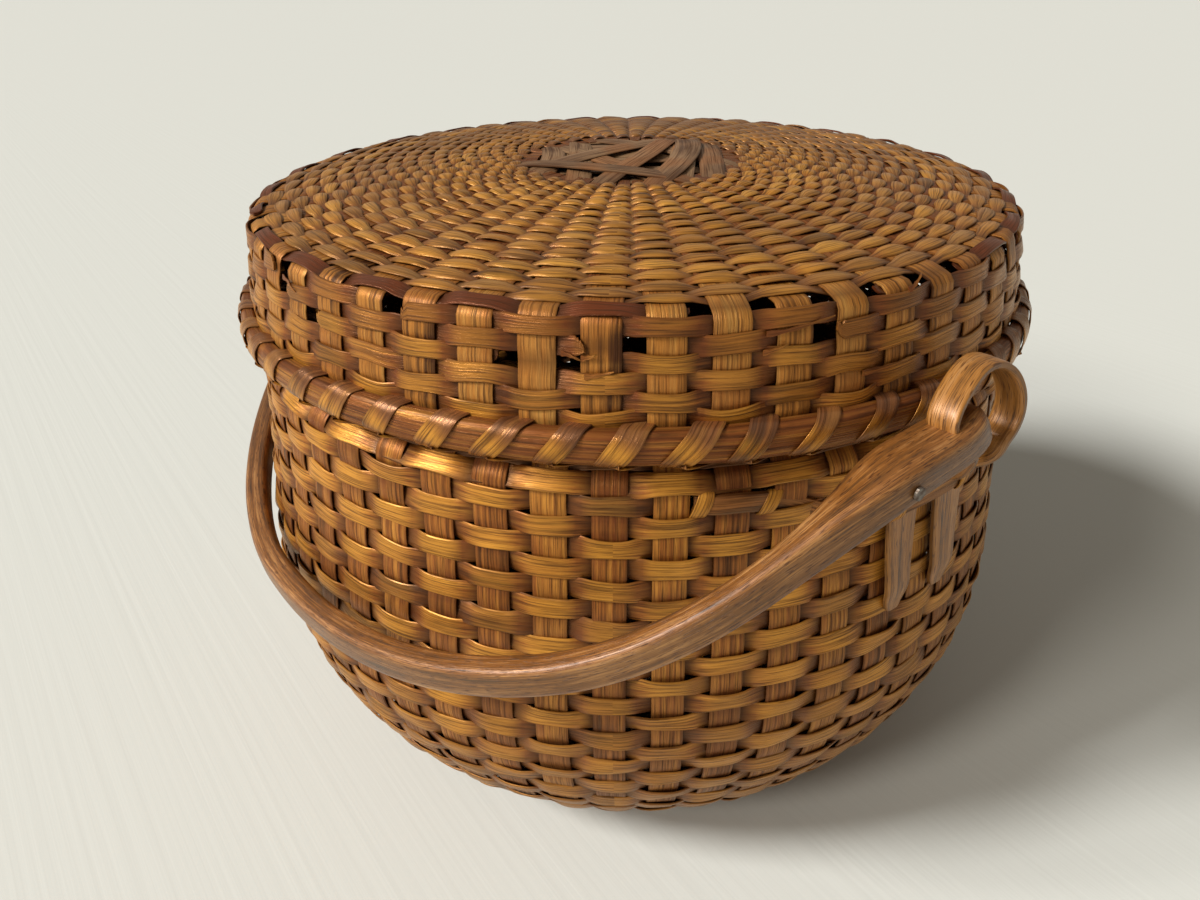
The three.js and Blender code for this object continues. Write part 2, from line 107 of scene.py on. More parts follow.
class FinishSettings(PropertyGroup):
    """Colours of the woods."""

    honey: colour_setting("Honey splint", "#c98839", "Varnished body splint where it is lightest")
    amber: colour_setting("Amber splint", "#9a5a26", "Varnished body splint of middle tone")
    # Umber also paints the shade along the splints' edges and where they dive under one another.
    umber: colour_setting("Umber splint", "#3f1f0c", "Darkened varnish in hollows and old splints")
    russet: colour_setting("Russet splint", "#6b3319", "Reddish splint low on the body and on the lid")
    straw: colour_setting("Straw splint", "#c48f48", "Palest splints, upright ones of the lid")
    # Gold is both worn varnish and the painted sheen on the floats and lashing.
    gold: colour_setting("Gold sheen", "#e2a03a", "Worn varnish on the floats and lashing")
    # Dust is also the painted shade toward the back of the lid's top.
    dust: colour_setting("Dusty splint", "#745039", "Greyed brown low on the body and at the lashing's ends")
    dry: colour_setting("Dry splint", "#b08c66", "Bare grey splints that cross in the lid's hub")
    handle_top: colour_setting("Handle wood", "#845222", "Carved hardwood, hand polished")
    handle_side: colour_setting("Handle grime", "#48301a", "Darkened hollows of the carved hardwood")
    # The bow's sides are painted in this colour as painted shade, where the top takes the light.
    grime_and_shade: colour_setting("Sides of the bow", "#5c4427", "Greyed wood where hands do not rub")
    iron: colour_setting("Nail iron", "#7d746a", "Worn iron of the nail heads")
    rust: colour_setting("Nail rust", "#4a3526", "Rust left in the dents of the nail heads")


class StageSettings(PropertyGroup):
    """Floor, lamps and camera."""

    floor: colour_setting("Floor", "#dadcd7", "Painted board that the basket stands on")
    key_power: FloatProperty(
        name="Key light", description="Strength of the light from the left", default=3.6, min=0.0)
    fill_power: FloatProperty(
        name="Fill light", description="Strength of the lower light from the front", default=1.0, min=0.0)
    world_strength: FloatProperty(
        name="Sky", description="Strength of the even light from all round", default=0.2, min=0.0)


def weave():
    return bpy.context.scene.basket_weave


def finish():
    return bpy.context.scene.basket_finish


def mm(value):
    """A length setting in millimetres."""
    return value / MM


# Shapes: walls as lines of radius and height, and strips gathered into meshes


def directions(azimuth):
    """Unit vectors outward and round the basket at azimuths."""
    spoke = np.stack([np.sin(azimuth), -np.cos(azimuth), 0 * azimuth], axis=-1)
    round_it = np.stack([np.cos(azimuth), np.sin(azimuth), 0 * azimuth], axis=-1)
    return spoke, round_it


def unit(vectors):
    return vectors / np.linalg.norm(vectors, axis=-1, keepdims=True)


def square_to(side, along):
    """The part of each side vector that is square to the line, at unit length."""
    return unit(side - along * (side * along).sum(-1, keepdims=True))


def smoothstep(value, low, high):
    t = np.clip((value - low) / (high - low), 0, 1)
    return t * t * (3 - 2 * t)


def smooth(values, reach):
    """values with each averaged over its neighbours, its ends kept."""
    for _ in range(reach):
        inner = (values[:-2] + 2 * values[1:-1] + values[2:]) / 4
        values = np.concatenate([values[:1], inner, values[-1:]])
    return values


def runs_of(line):
    """Distance along a line at each of its points."""
    return np.concatenate([[0], np.cumsum(np.linalg.norm(np.diff(line, axis=0), axis=1))])


class Profile:
    """Middle line of a woven wall, as radius and height by the distance along it."""

    STEP = 0.5

    def __init__(self, corners, rounding):
        corners = np.array(corners, dtype=float)
        runs = runs_of(corners)
        dense = np.arange(0, runs[-1], self.STEP)
        line = smooth(np.stack([np.interp(dense, runs, v) for v in corners.T], axis=1), rounding)
        self.run = runs_of(line)
        self.radius, self.height = line.T
        self.length = self.run[-1]
        self.along_r, self.along_z = unit(np.gradient(line, self.run, axis=0)).T

    def at(self, run):
        """Radius, height and the direction along the line, as (radius, height, r, z)."""
        return [np.interp(run, self.run, v) for v in (self.radius, self.height, self.along_r, self.along_z)]

    def run_at_height(self, height):
        """The run at which the wall first reaches a height."""
        return self.run[np.argmax(self.height >= height)]

    def frame_at(self, run, azimuth, offset=0.0):
        """Places at an offset outward, with the directions out, up the wall and round it."""
        radius, height, along_r, along_z, offset = (np.expand_dims(v, -1) for v in (*self.at(run), offset))
        spoke, round_it = directions(np.asarray(azimuth))
        out = spoke * along_z - UP * along_r
        rise = spoke * along_r + UP * along_z
        return spoke * radius + UP * height + out * offset, out, rise, round_it


# Edges that turn by more than this stay crisp, as a knife leaves them.
CRISP_ANGLE = math.radians(38)

# Outline of a splint's section, as shares of half its width and half its thickness
SPLINT_SECTION = np.array([
    (-1.0, -0.4), (-1.0, 0.4), (-0.92, 1.0), (-0.4, 1.0), (0.4, 1.0),
    (0.92, 1.0), (1.0, 0.4), (1.0, -0.4), (0.9, -1.0), (-0.9, -1.0),
])


def round_section(points, squareness):
    """A superellipse: 2 is an ellipse, and more is squarer."""
    turn = TAU * (np.arange(points) + 0.5) / points
    shape = lambda v: np.sign(v) * np.abs(v) ** (2 / squareness)
    return np.stack([-shape(np.cos(turn)), shape(np.sin(turn))], axis=1)


class Splints:
    """Strips gathered into one mesh. Each point keeps its place along and across its strip."""

    # What the finishes read at each point: the strip's own tone, how old it looks together with any painted
    # shade, how far it stands out of the weave, which also sets where wear, painted sheen and painted shade
    # lie, and the place across it from -1 to 1
    LAYERS = ("tone", "age", "lift", "across")

    def __init__(self):
        self.points, self.quads, self.uvs = [], [], []
        self.layers = {name: [] for name in self.LAYERS}
        self.count = 0

    def add(self, places, out, side, width, thickness, tone=0.5, age=0.0, lift=0.5, crown=0.0,
            closed=False, section=SPLINT_SECTION):
        """One strip along the places. width, thickness, age, lift and crown may change along it."""
        steps, sides = len(places), len(section)
        width, thickness, lift, crown, age = (
            np.broadcast_to(np.asarray(v, dtype=float), steps) for v in (width, thickness, lift, crown, age))
        a, b = section.T
        height = b * thickness[:, None] / 2 + crown[:, None] * (1 - a ** 2)
        points = places[:, None, :] + side[:, None, :] * (a * width[:, None] / 2)[..., None]
        points = points + out[:, None, :] * height[..., None]
        last = steps if closed else steps - 1
        ring = np.arange(last)[:, None]
        after = (ring + 1) % steps
        k = np.arange(sides)[None, :]
        beside = (k + 1) % sides
        quads = [ring * sides + k, ring * sides + beside, after * sides + beside, after * sides + k]
        quads = np.stack(quads, -1).reshape(-1, 4)
        gaps = np.linalg.norm(np.diff(places, axis=0, append=places[:1]), axis=1)
        run = np.concatenate([[0], np.cumsum(gaps)])
        across = a * width.mean() / 2 + b * thickness.mean() / 2
        corners = ((ring, k), (ring, beside), (ring + 1, beside), (ring + 1, k))
        uvs = np.stack([np.stack(np.broadcast_arrays(run[i], across[j]), -1) for i, j in corners], -2)
        uvs = uvs.reshape(-1, 4, 2)
        if not closed:
            i = np.arange(sides // 2 - 1)
            cap = np.stack([i, i + 1, sides - 2 - i, sides - 1 - i], -1)
            end = cap[:, ::-1] + (steps - 1) * sides
            quads = np.concatenate([quads, cap, end])
            cap_uv = np.stack([across[cap], np.zeros(cap.shape)], -1)
            uvs = np.concatenate([uvs, cap_uv, cap_uv])
        if np.dot(np.cross(places[1] - places[0], side[0]), out[0]) < 0:
            quads, uvs = quads[:, ::-1], uvs[:, ::-1]
        self.points.append(points.reshape(-1, 3))
        self.quads.append(quads + self.count)
        self.uvs.append(uvs)
        self.count += steps * sides
        for name, value in (("tone", np.full(steps, tone)), ("age", age), ("lift", lift)):
            self.layers[name].append(np.repeat(value, sides))
        self.layers["across"].append(np.tile(a, steps))

    def build(self, name, finish_name):
        """The strips as one object with a finish."""
        points, quads, uvs = (np.concatenate(part) for part in (self.points, self.quads, self.uvs))
        mesh = bpy.data.meshes.new(name)
        mesh.vertices.add(len(points))
        mesh.vertices.foreach_set("co", (points * MM).ravel())
        mesh.loops.add(quads.size)
        mesh.loops.foreach_set("vertex_index", quads.ravel())
        mesh.polygons.add(len(quads))
        mesh.polygons.foreach_set("loop_start", np.arange(0, quads.size, 4))
        mesh.update(calc_edges=True)
        mesh.polygons.foreach_set("use_smooth", np.ones(len(quads), dtype=bool))
        mesh.uv_layers.new(name="Splint").data.foreach_set("uv", uvs.ravel())
        for key, values in self.layers.items():
            attribute = mesh.attributes.new(key, "FLOAT", "POINT")
            attribute.data.foreach_set("value", np.concatenate(values))
        mesh.set_sharp_from_angle(angle=CRISP_ANGLE)
        mesh.materials.append(shared_material(finish_name))
        item = bpy.data.objects.new(name, mesh)
        bpy.context.scene.collection.objects.link(item)
        return item

    def make(self, name, finish_name, body, slot, *nodes):
        """The strips as a piece that rides on a body and stands for CAD nodes."""
        place_piece(self.build(name, finish_name), body, slot, *nodes)


def place_piece(item, body, slot, *nodes):
    """The piece rides on a body and stands for CAD nodes. Its slot is not used."""
    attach(item, body)
    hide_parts(*nodes)


def wobble(azimuth, rng, size, waves=(3, 5, 9, 14, 23, 31)):
    """Smooth unevenness round a row, of about that size."""
    total = sum(rng.normal() * np.cos(n * azimuth + rng.uniform(0, TAU)) for n in waves)
    return size * total / math.sqrt(len(waves))


# The walls that are woven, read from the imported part

# The middle of the weave lies this far inside the CAD rows' outer faces.
WEAVE_INSET = 2.2
BODY_ROWS = sum(name.startswith("body_weaver_") for name in frame["nodes"])
LID_ROWS = sum(name.startswith("lid_weaver_") for name in frame["nodes"])
# The neck's stakes stand between the two hoops of the rim.
NECK_GAP = 2.2
NECK_RADIUS = cad_box("body_rim_inner_hoop")[1][1] + NECK_GAP / 2


def row_outline(node):
    """Greatest radius of a CAD row, and its lowest and highest height."""
    low, high = cad_box(node)
    return high[1], low[2], high[2]


def body_profile():
    """From the middle of the foot out along it, up the wall and over the shoulder to the neck's top."""
    rows = [row_outline(f"body_weaver_{i:02d}") for i in range(BODY_ROWS, 0, -1)]
    foot_radius = cad_box("base_weave")[1][1]
    widest = int(np.argmax([row[0] for row in rows]))
    # A row is widest at its top below the belly and at its bottom above it.
    line = [(foot_radius, 0.0), *((r, top) for r, low, top in rows[:widest])]
    line = np.array([*line, *((r, low) for r, low, top in rows[widest:])], dtype=float)
    along_r, along_z = unit(np.gradient(line, axis=0)).T
    line = line - np.stack([along_z, -along_r], axis=1) * WEAVE_INSET
    floor = [(r, WEAVE_INSET) for r in (0.0, foot_radius - WEAVE_INSET)]
    neck_heights = (cad_box("neck_band")[0][2], cad_box("body_rim_outer_hoop")[1][2])
    return Profile([*floor, *line[1:-1], *((NECK_RADIUS, z) for z in neck_heights)], rounding=12)


# How the lid's line is fitted inside its CAD rows: its stakes' outer face, the rows' start over the
# hoops, the two corners of the shoulder (inward, up) and the heights of the dome's edge and middle
LID_STAKE_INSET = 0.7
LID_ROWS_OVER_HOOP = -3
LID_SHOULDER = ((-1.2, -1.8), (-4.6, 0.1))
LID_EDGE_RISE = 1.9
LID_MIDDLE_RISE = 0.3


def lid_profile():
    """From the bottom of the lid's wall up it, round the corner and over the dome to its middle."""
    low, high = cad_box("lid_stakes")
    hoop_top = cad_box("lid_rim_outer_hoop")[1][2]
    foot_radius = high[1] - LID_STAKE_INSET
    rows = [row_outline(f"lid_weaver_{i:02d}") for i in range(LID_ROWS, 2, -1)]
    edge_low, edge_high = cad_box("lid_top_weave")
    edge_height = edge_low[2] + LID_EDGE_RISE - WEAVE_INSET
    middle_height = edge_high[2] + LID_MIDDLE_RISE - WEAVE_INSET
    corner_top = cad_box("lid_weaver_01")[1][2] - WEAVE_INSET
    line = [(foot_radius, low[2]), (foot_radius, hoop_top + LID_ROWS_OVER_HOOP)]
    line += [(r - WEAVE_INSET, z) for r, z, _ in rows]
    corner_radius = line[-1][0]
    line += [(corner_radius + inward, corner_top + up) for inward, up in LID_SHOULDER]
    for share in np.linspace(1.0, 0.0, 12):
        line.append((edge_high[1] * share, middle_height - (middle_height - edge_height) * share ** 2))
    return Profile(line, rounding=10)


BODY = body_profile()
LID = lid_profile()

# Azimuths of one even stake, as seen in the photo
BODY_STAKE_AZIMUTH = math.radians(49.6)
LID_STAKE_AZIMUTH = math.radians(48.8)


def row_lift(azimuth, first_stake, over_even):
    """From -1 under a stake to 1 over it, flat on the stakes and steep between them."""
    beat = np.cos(weave().stakes / 2 * (azimuth - first_stake))
    beat = 1.5 * beat - 0.5 * beat ** 3
    return beat if over_even else -beat


def round_azimuths(samples_per_stake, first_stake):
    count = weave().stakes * samples_per_stake
    return first_stake + TAU * (np.arange(count) + 0.5) / count


# Rows run unevenly in waves of these counts round the basket, some as short as one stake.
ROW_WAVES = (3, 7, 12, 19, 26, 37, 46)
# How unevenly a row is shaved in width, is bent in and out in millimetres, and is tilted
WIDTH_WOBBLE = 0.045
DEPTH_WOBBLE = 0.08
TILT_WOBBLE = 0.12
# A torn end is ragged over this length in millimetres, down to this share of the row's width.
TEAR_LENGTH = 3.0
TEAR_TEETH = 9
TEAR_WIDTH = 0.3
TEAR_RAGGED = 0.25
TEAR_SLANT = 0.35
# The back of the basket: all rows were beaten closer, and the lid's top is painted darker there,
# as painted shade.
BACK_AZIMUTH = math.radians(232)
TIGHTNESS = 0.13


class Row:
    """One woven row of a wall: where it runs, which stakes it passes over and how it is cut."""

    def __init__(self, profile, run, over_even, first_stake, width, pinch=1.15, tone=0.5, age=0.0,
                 unevenness=0.3, thickness=None, crown=0.1, dust_and_shade=0.0):
        self.profile, self.run, self.over_even = profile, run, over_even
        self.first_stake, self.width, self.pinch = first_stake, width, pinch
        self.tone, self.age, self.unevenness = tone, age, unevenness
        self.thickness = thickness or mm(weave().splint_thickness)
        self.crown, self.dust_and_shade = crown, dust_and_shade

    def weave_with_gaps(self, strips, rng, gaps):
        """Adds the row with stretches missing, each from one azimuth to another, in order."""
        start = gaps[-1][1] - TAU
        for low, high in gaps:
            self.weave_into(strips, rng, start=start, end=low)
            start = high

    def weave_into(self, strips, rng, samples=8, start=None, end=None):
        """Adds the row, all the way round or from a start to an end azimuth."""
        closed = start is None
        tear_angle = TEAR_LENGTH / self.profile.at(self.run)[0]
        if closed:
            azimuth = round_azimuths(samples, self.first_stake)
        else:
            step = TAU / (weave().stakes * samples)
            azimuth = np.linspace(start, end, max(4, int((end - start) / step)))
            teeth = np.linspace(0, tear_angle, TEAR_TEETH)
            azimuth = np.unique(np.concatenate([azimuth, start + teeth, end - teeth]))
        lift = row_lift(azimuth, self.first_stake, self.over_even)
        backward = np.cos(azimuth - BACK_AZIMUTH)
        run = self.run + wobble(azimuth, rng, self.unevenness, ROW_WAVES)
        width = self.width * (1 + wobble(azimuth, rng, WIDTH_WOBBLE, ROW_WAVES))
        width = width * (self.pinch + (1 - self.pinch) * np.abs(lift))
        width = width * (1 + TIGHTNESS * np.clip(backward, 0, 1))
        offset = mm(weave().weave_lift) * lift + wobble(azimuth, rng, DEPTH_WOBBLE)
        places, out, rise, _ = self.profile.frame_at(run, azimuth, offset)
        tilt = wobble(azimuth, rng, TILT_WOBBLE, ROW_WAVES)[:, None]
        if not closed:
            # Broken ends are torn to a ragged, slanting point.
            for far in (azimuth - start, end - azimuth):
                torn = np.clip(far / tear_angle, 0, 1)
                ragged = rng.uniform(-TEAR_RAGGED, TEAR_RAGGED, len(azimuth)) * (1 - torn)
                slant = rng.uniform(-TEAR_SLANT, TEAR_SLANT) * (1 - torn)
                places = places + rise * ((slant + ragged / 2) * self.width)[:, None]
                width = width * (TEAR_WIDTH + (1 - TEAR_WIDTH) * torn ** 0.6) * (1 + ragged)
        side = rise + out * tilt
        out = out - rise * tilt
        # Toward the back the lid's top rows are painted darker, as painted shade.
        age = np.clip(self.age + self.dust_and_shade * (0.5 + 0.5 * backward) ** 2, 0, 1)
        strips.add(places, out, side, width, self.thickness, self.tone, age, (lift + 1) / 2,
                   crown=self.crown, closed=closed)


# Upright splints are drawn at steps of this many millimetres, and leave this share of their room free.
STAKE_STEP = 2.5
STAKE_ROOM = 0.9
# How far a stake strays sideways at the belly, and the wave that it does so in
STAKE_DRIFT = 0.25 / 170
STAKE_DRIFT_WAVE = 37


def stakes_into(strips, profile, start, end, rows, first_stake, rng, age_at):
    """Adds the upright splints of a wall, bent behind the rows that pass over them."""
    count = weave().stakes
    runs = np.arange(start, end, STAKE_STEP)
    row_runs = np.array([row.run for row in rows])
    order = np.argsort(row_runs)
    phase = np.interp(runs, row_runs[order], np.arange(len(rows)) * math.pi)
    beat = np.cos(phase) * (1 if rows[order[0]].over_even else -1)
    woven = (runs > row_runs.min() - 3) & (runs < row_runs.max() + 3)
    room = STAKE_ROOM * TAU * profile.at(runs)[0] / count
    for k in range(count):
        azimuth = first_stake + TAU * k / count
        push = np.where(woven, -beat * (1 if k % 2 == 0 else -1), 0.0)
        width = np.minimum(mm(weave().stake_width) * (1 + rng.normal() * 0.03), room)
        drift = rng.normal() * STAKE_DRIFT
        line = azimuth + drift * np.sin(runs / STAKE_DRIFT_WAVE + rng.uniform(0, TAU))
        places, out, _, round_it = profile.frame_at(runs, line, mm(weave().stake_lift) * push)
        strips.add(places, out, round_it, width, mm(weave().splint_thickness), rng.uniform(0.1, 0.9),
                   age_at(places), 0.5 + 0.2 * push, crown=0.06)


# Materials


def add_node(tree, kind, inputs=None, output=0, **settings):
    """Adds a node and gives one of its outputs. An input is a plain value or another node's output."""
    node = tree.nodes.new("ShaderNode" + kind)
    for name, value in settings.items():
        setattr(node, name, value)
    for name, value in (inputs or {}).items():
        if isinstance(value, bpy.types.NodeSocket):
            tree.links.new(value, node.inputs[name])
        else:
            node.inputs[name].default_value = value
    return node.outputs[output] if node.outputs else None


def rgba(colour):
    return (*colour, 1.0)


def between(one, other):
    return tuple((a + b) / 2 for a, b in zip(one, other))


def new_material(name):
    """An empty material, and the function that adds nodes to it."""
    material = bpy.data.materials.new(name)
    material.use_nodes = True
    material.node_tree.nodes.clear()
    return material, partial(add_node, material.node_tree)


def set_stops(ramp, *stops):
    """Gives a ramp its colours, each with its place from 0 to 1."""
    elements = ramp.node.color_ramp.elements
    for place, _ in stops[1:-1]:
        elements.new(place)
    for element, (place, colour) in zip(elements, stops):
        element.position, element.color = place, rgba(colour)


# Ash splits along its growth rings into fibres about this far apart and this long, in millimetres.
FIBRE_SPACING = 0.6
FIBRE_LENGTH = 26.0
# Darker streaks of late wood, drawn a little wider than real so that they show
STREAK_SPACING = 1.5
STREAK_LENGTH = FIBRE_LENGTH * 2.2
STAIN_SIZE = 34.0
# Varnished fibres send light back in the wood's own colour, like silk. This share of it does.
SILK = 0.34
AMBER_GLINT = (1.0, 0.84, 0.58)
# Splints of different tone read the grain up to this far apart.
GRAIN_APART = 91.0


def splint_material(name, dark, middle, light, red, old, sheen, gloss=0.03, rough=0.42, relief=0.2,
                    streaks=0.95):
    """Ash splint, shaved, woven and varnished long ago: long fibres, hollows darkened by dirt and painted
    shade, and a soft shine, partly a painted sheen.
    """
    material, node = new_material(name)
    uv = node("UVMap", uv_map="Splint")
    tone, age, lift, across = (
        node("Attribute", attribute_name=layer, output="Fac") for layer in Splints.LAYERS)
    own = node("Math", {0: tone, 1: GRAIN_APART}, operation="MULTIPLY")
    lane = node("CombineXYZ", {"Z": own})

    def grain(along, spacing, detail, roughness):
        scale = (1 / along, 1 / spacing, 1.0)
        drawn = node("VectorMath", {0: uv, 1: scale}, operation="MULTIPLY")
        drawn = node("VectorMath", {0: drawn, 1: lane}, operation="ADD")
        return node("TexNoise", {"Vector": drawn, "Scale": 1.0, "Detail": detail, "Roughness": roughness})

    fibre = grain(FIBRE_LENGTH, FIBRE_SPACING, 4.0, 0.65)
    streak = grain(STREAK_LENGTH, STREAK_SPACING, 2.0, 0.5)
    patch = grain(STAIN_SIZE, STAIN_SIZE / 2, 2.0, 0.5)
    stain = node("TexNoise", {
        "Vector": node("TexCoord", output="Object"), "Scale": 1 / (STAIN_SIZE * MM), "Detail": 3.0,
        "Roughness": 0.55})

    shade = node("Math", {0: streak, 1: streaks}, operation="MULTIPLY")
    for source, weight in ((patch, 0.75), (stain, 0.45), (tone, 0.35)):
        shade = node("Math", {0: source, 1: weight, 2: shade}, operation="MULTIPLY_ADD")
    shade = node("MapRange", {
        "Value": shade, "From Min": 0.66 + streaks / 4, "From Max": 1.15 + streaks / 3}, clamp=True)
    colour = node("ValToRGB", {"Fac": shade})
    set_stops(colour, (0.0, dark), (0.5, middle), (1.0, light))
    # Some stretches took up more stain and went red.
    reddened = node("MapRange", {
        "Value": grain(STAIN_SIZE, STAIN_SIZE, 1.0, 0.5), "From Min": 0.5, "From Max": 0.62, "To Max": 0.7})
    # Floats are worn to gold in the middle, and the gold also stands for a painted sheen.
    wear_and_sheen = node("MapRange", {"Value": lift, "From Min": 0.6, "From Max": 1.0, "To Max": 0.95})
    fresh = node("Math", {0: 1.0, 1: age}, operation="SUBTRACT")
    for share in (patch, fresh):
        wear_and_sheen = node("Math", {0: wear_and_sheen, 1: share}, operation="MULTIPLY")
    # Painted shade and dirt darken the edges and where a splint dives under another; dirt darkens the open
    # pores.
    edge = node("Math", {0: across}, operation="ABSOLUTE")
    grime_and_shade = node("MapRange", {"Value": edge, "From Min": 0.8, "From Max": 1.0, "To Max": 0.45})
    sunk_shade = node("MapRange", {"Value": lift, "From Min": 0.66, "From Max": 0.15, "To Max": 0.85})
    pores = node("MapRange", {"Value": fibre, "From Min": 0.55, "From Max": 0.36, "To Max": 0.8})
    for dirt in (sunk_shade, pores):
        grime_and_shade = node("Math", {0: grime_and_shade, 1: dirt}, operation="MAXIMUM")
    for share, over in ((reddened, red), (age, old), (wear_and_sheen, sheen), (grime_and_shade, dark)):
        colour = node("Mix", {0: share, 6: colour, 7: rgba(over)}, 2, data_type="RGBA")

    roughness = node("MapRange", {
        "Value": fibre, "From Min": 0.3, "From Max": 0.7, "To Min": rough + 0.14, "To Max": rough - 0.16})
    height = node("Math", {0: streak, 1: 0.6, 2: fibre}, operation="MULTIPLY_ADD")
    bump = node("Bump", {"Height": height, "Distance": relief * MM, "Strength": 1.0})
    shader = node("BsdfPrincipled", {
        "Base Color": colour, "Roughness": roughness, "Normal": bump, "Metallic": SILK,
        "Coat Weight": gloss, "Coat Roughness": 0.3, "IOR": 1.4, "Specular Tint": rgba(AMBER_GLINT)})
    node("OutputMaterial", {"Surface": shader})
    return material


def shared_material(name):
    """One of the finishes, made the first time it is asked for."""
    if name in bpy.data.materials:
        return bpy.data.materials[name]
    f = finish()
    warm, worn = between(f.amber, f.honey), between(f.honey, f.dry)
    splints = {
        # The body's splints are honey brown, lighter and golden where hands have worn them, with painted
        # sheen.
        "varnished_ash_weaver": (f.umber, f.amber, f.honey, f.russet, f.dust, f.gold),
        # The lid's wall went redder and darker where the varnish lies thick.
        "reddened_ash_weaver": (
            f.umber, f.amber, f.honey, f.russet, f.russet, f.gold, 0.08, 0.38, 0.28, 1.1),
        # Nothing touches the hub's splints, so they are bare, dry and grey.
        "dry_hub_splint": (
            f.umber, between(f.dust, f.dry), f.dry, f.amber, f.dust, f.dry, 0.0, 0.55),
        # Stakes are shaved across the flat side, so their fibres stand out more and shine less.
        "varnished_ash_stake": (
            f.umber, f.amber, f.honey, f.russet, f.dust, f.honey, 0.02, 0.48, 0.34, 0.95),
        # The lid's stakes kept a paler straw colour, as the lid's wall is seldom touched.
        "pale_ash_stake": (f.umber, warm, f.straw, f.amber, f.russet, f.straw, 0.03, 0.48, 0.34, 0.8),
        # The lid's top shines most, as nothing rubs its thick varnish.
        "glossy_ash_weaver": (f.umber, warm, f.straw, f.amber, f.dust, f.gold, 0.12, 0.42),
        # Lashing was shaved thin and took the varnish best, so it shines like gilding, helped by a painted
        # highlight on each wrap's outer face.
        "glossy_lashing_splint": (f.umber, f.amber, f.honey, f.amber, f.dust, f.gold, 0.08, 0.32),
        # Hoops are split and shaved rods with their fibres torn open here and there.
        "split_wood_hoop": (
            f.umber, f.amber, f.honey, f.russet, f.russet, f.gold, 0.06, 0.4, 0.45, 1.5),
    }
    carved = {
        # The bow was carved of close-grained hardwood and went dark in use.
        "hand_worn_hardwood": (f.handle_side, f.handle_top, worn),
        # The ears were split thin, bent and varnished, so they are brighter than the bow.
        "bent_hardwood": (f.handle_side, between(f.handle_top, f.honey), worn, 0.5, 20.0),
    }
    if name in splints:
        return splint_material(name, *splints[name])
    return carved_material(name, *carved[name])


# Size of the stains in the carved hardwood, in millimetres
CARVED_STAIN_SIZE = 22.0


def carved_material(name, dark, middle, light, spacing=0.55, length=14.0):
    """Hardwood, carved with a knife and polished by hands: short dark pores, sides painted grey as painted
    shade, worn edges.
    """
    f = finish()
    material, node = new_material(name)
    uv = node("UVMap", uv_map="Splint")
    age, lift, across = (
        node("Attribute", attribute_name=layer, output="Fac") for layer in Splints.LAYERS[1:])

    def grain(along, spacing, detail):
        scale = (1 / along, 1 / spacing, 1.0)
        drawn = node("VectorMath", {0: uv, 1: scale}, operation="MULTIPLY")
        return node("TexNoise", {
            "Vector": drawn, "Scale": 1.0, "Detail": detail, "Roughness": 0.6, "Distortion": 0.3})

    ring = grain(length * 4, spacing * 5, 3.0)
    fibre = grain(length * 1.5, spacing, 3.0)
    pore = grain(length / 3, spacing * 0.8, 1.0)
    stain = node("TexNoise", {
        "Vector": node("TexCoord", output="Object"), "Scale": 1 / (CARVED_STAIN_SIZE * MM), "Detail": 4.0,
        "Roughness": 0.6})
    shade = ring
    for source, weight in ((stain, 0.5), (fibre, 0.7)):
        shade = node("Math", {0: source, 1: weight, 2: shade}, operation="MULTIPLY_ADD")
    shade = node("MapRange", {"Value": shade, "From Min": 0.82, "From Max": 1.38})
    colour = node("ValToRGB", {"Fac": shade})
    set_stops(colour, (0.0, dark), (0.5, middle), (1.0, light))
    # The bow's side faces are painted darker and greyer than its top, as painted shade.
    side = node("Math", {0: across}, operation="ABSOLUTE")
    side = node("MapRange", {"Value": side, "From Min": 0.9, "From Max": 0.99, "To Max": 0.45})
    worn = node("Math", {0: lift, 1: fibre}, operation="MULTIPLY")
    worn = node("MapRange", {"Value": worn, "From Min": 0.44, "From Max": 0.66, "To Max": 0.4})
    pores = node("MapRange", {"Value": pore, "From Min": 0.43, "From Max": 0.33, "To Max": 0.75})
    for share, over in ((side, f.grime_and_shade), (age, dark), (worn, f.honey), (pores, f.umber)):
        colour = node("Mix", {0: share, 6: colour, 7: rgba(over)}, 2, data_type="RGBA")
    height = node("Math", {0: pores, 1: -0.5, 2: fibre}, operation="MULTIPLY_ADD")
    bump = node("Bump", {"Height": height, "Distance": 0.16 * MM, "Strength": 1.0})
    roughness = node("MapRange", {
        "Value": stain, "From Min": 0.3, "From Max": 0.7, "To Min": 0.36, "To Max": 0.5})
    shader = node("BsdfPrincipled", {
        "Base Color": colour, "Roughness": roughness, "Normal": bump, "Metallic": SILK / 2,
        "Coat Weight": 0.2, "Coat Roughness": 0.3, "IOR": 1.45})
    node("OutputMaterial", {"Surface": shader})
    return material


def iron_material():
    """Wrought iron nail, hammered, its rust rubbed off the head."""
    material, node = new_material("worn_nail_iron")
    spots = node("TexNoise", {
        "Vector": node("TexCoord", output="Object"), "Scale": 1 / (1.5 * MM), "Detail": 4.0})
    colour = node("ValToRGB", {"Fac": spots})
    set_stops(colour, (0.35, finish().rust), (0.6, finish().iron))
    bump = node("Bump", {"Height": spots, "Distance": 0.15 * MM})
    shader = node("BsdfPrincipled", {
        "Base Color": colour, "Metallic": 0.75, "Roughness": 0.5, "Normal": bump})
    node("OutputMaterial", {"Surface": shader})
    return material


# Stage


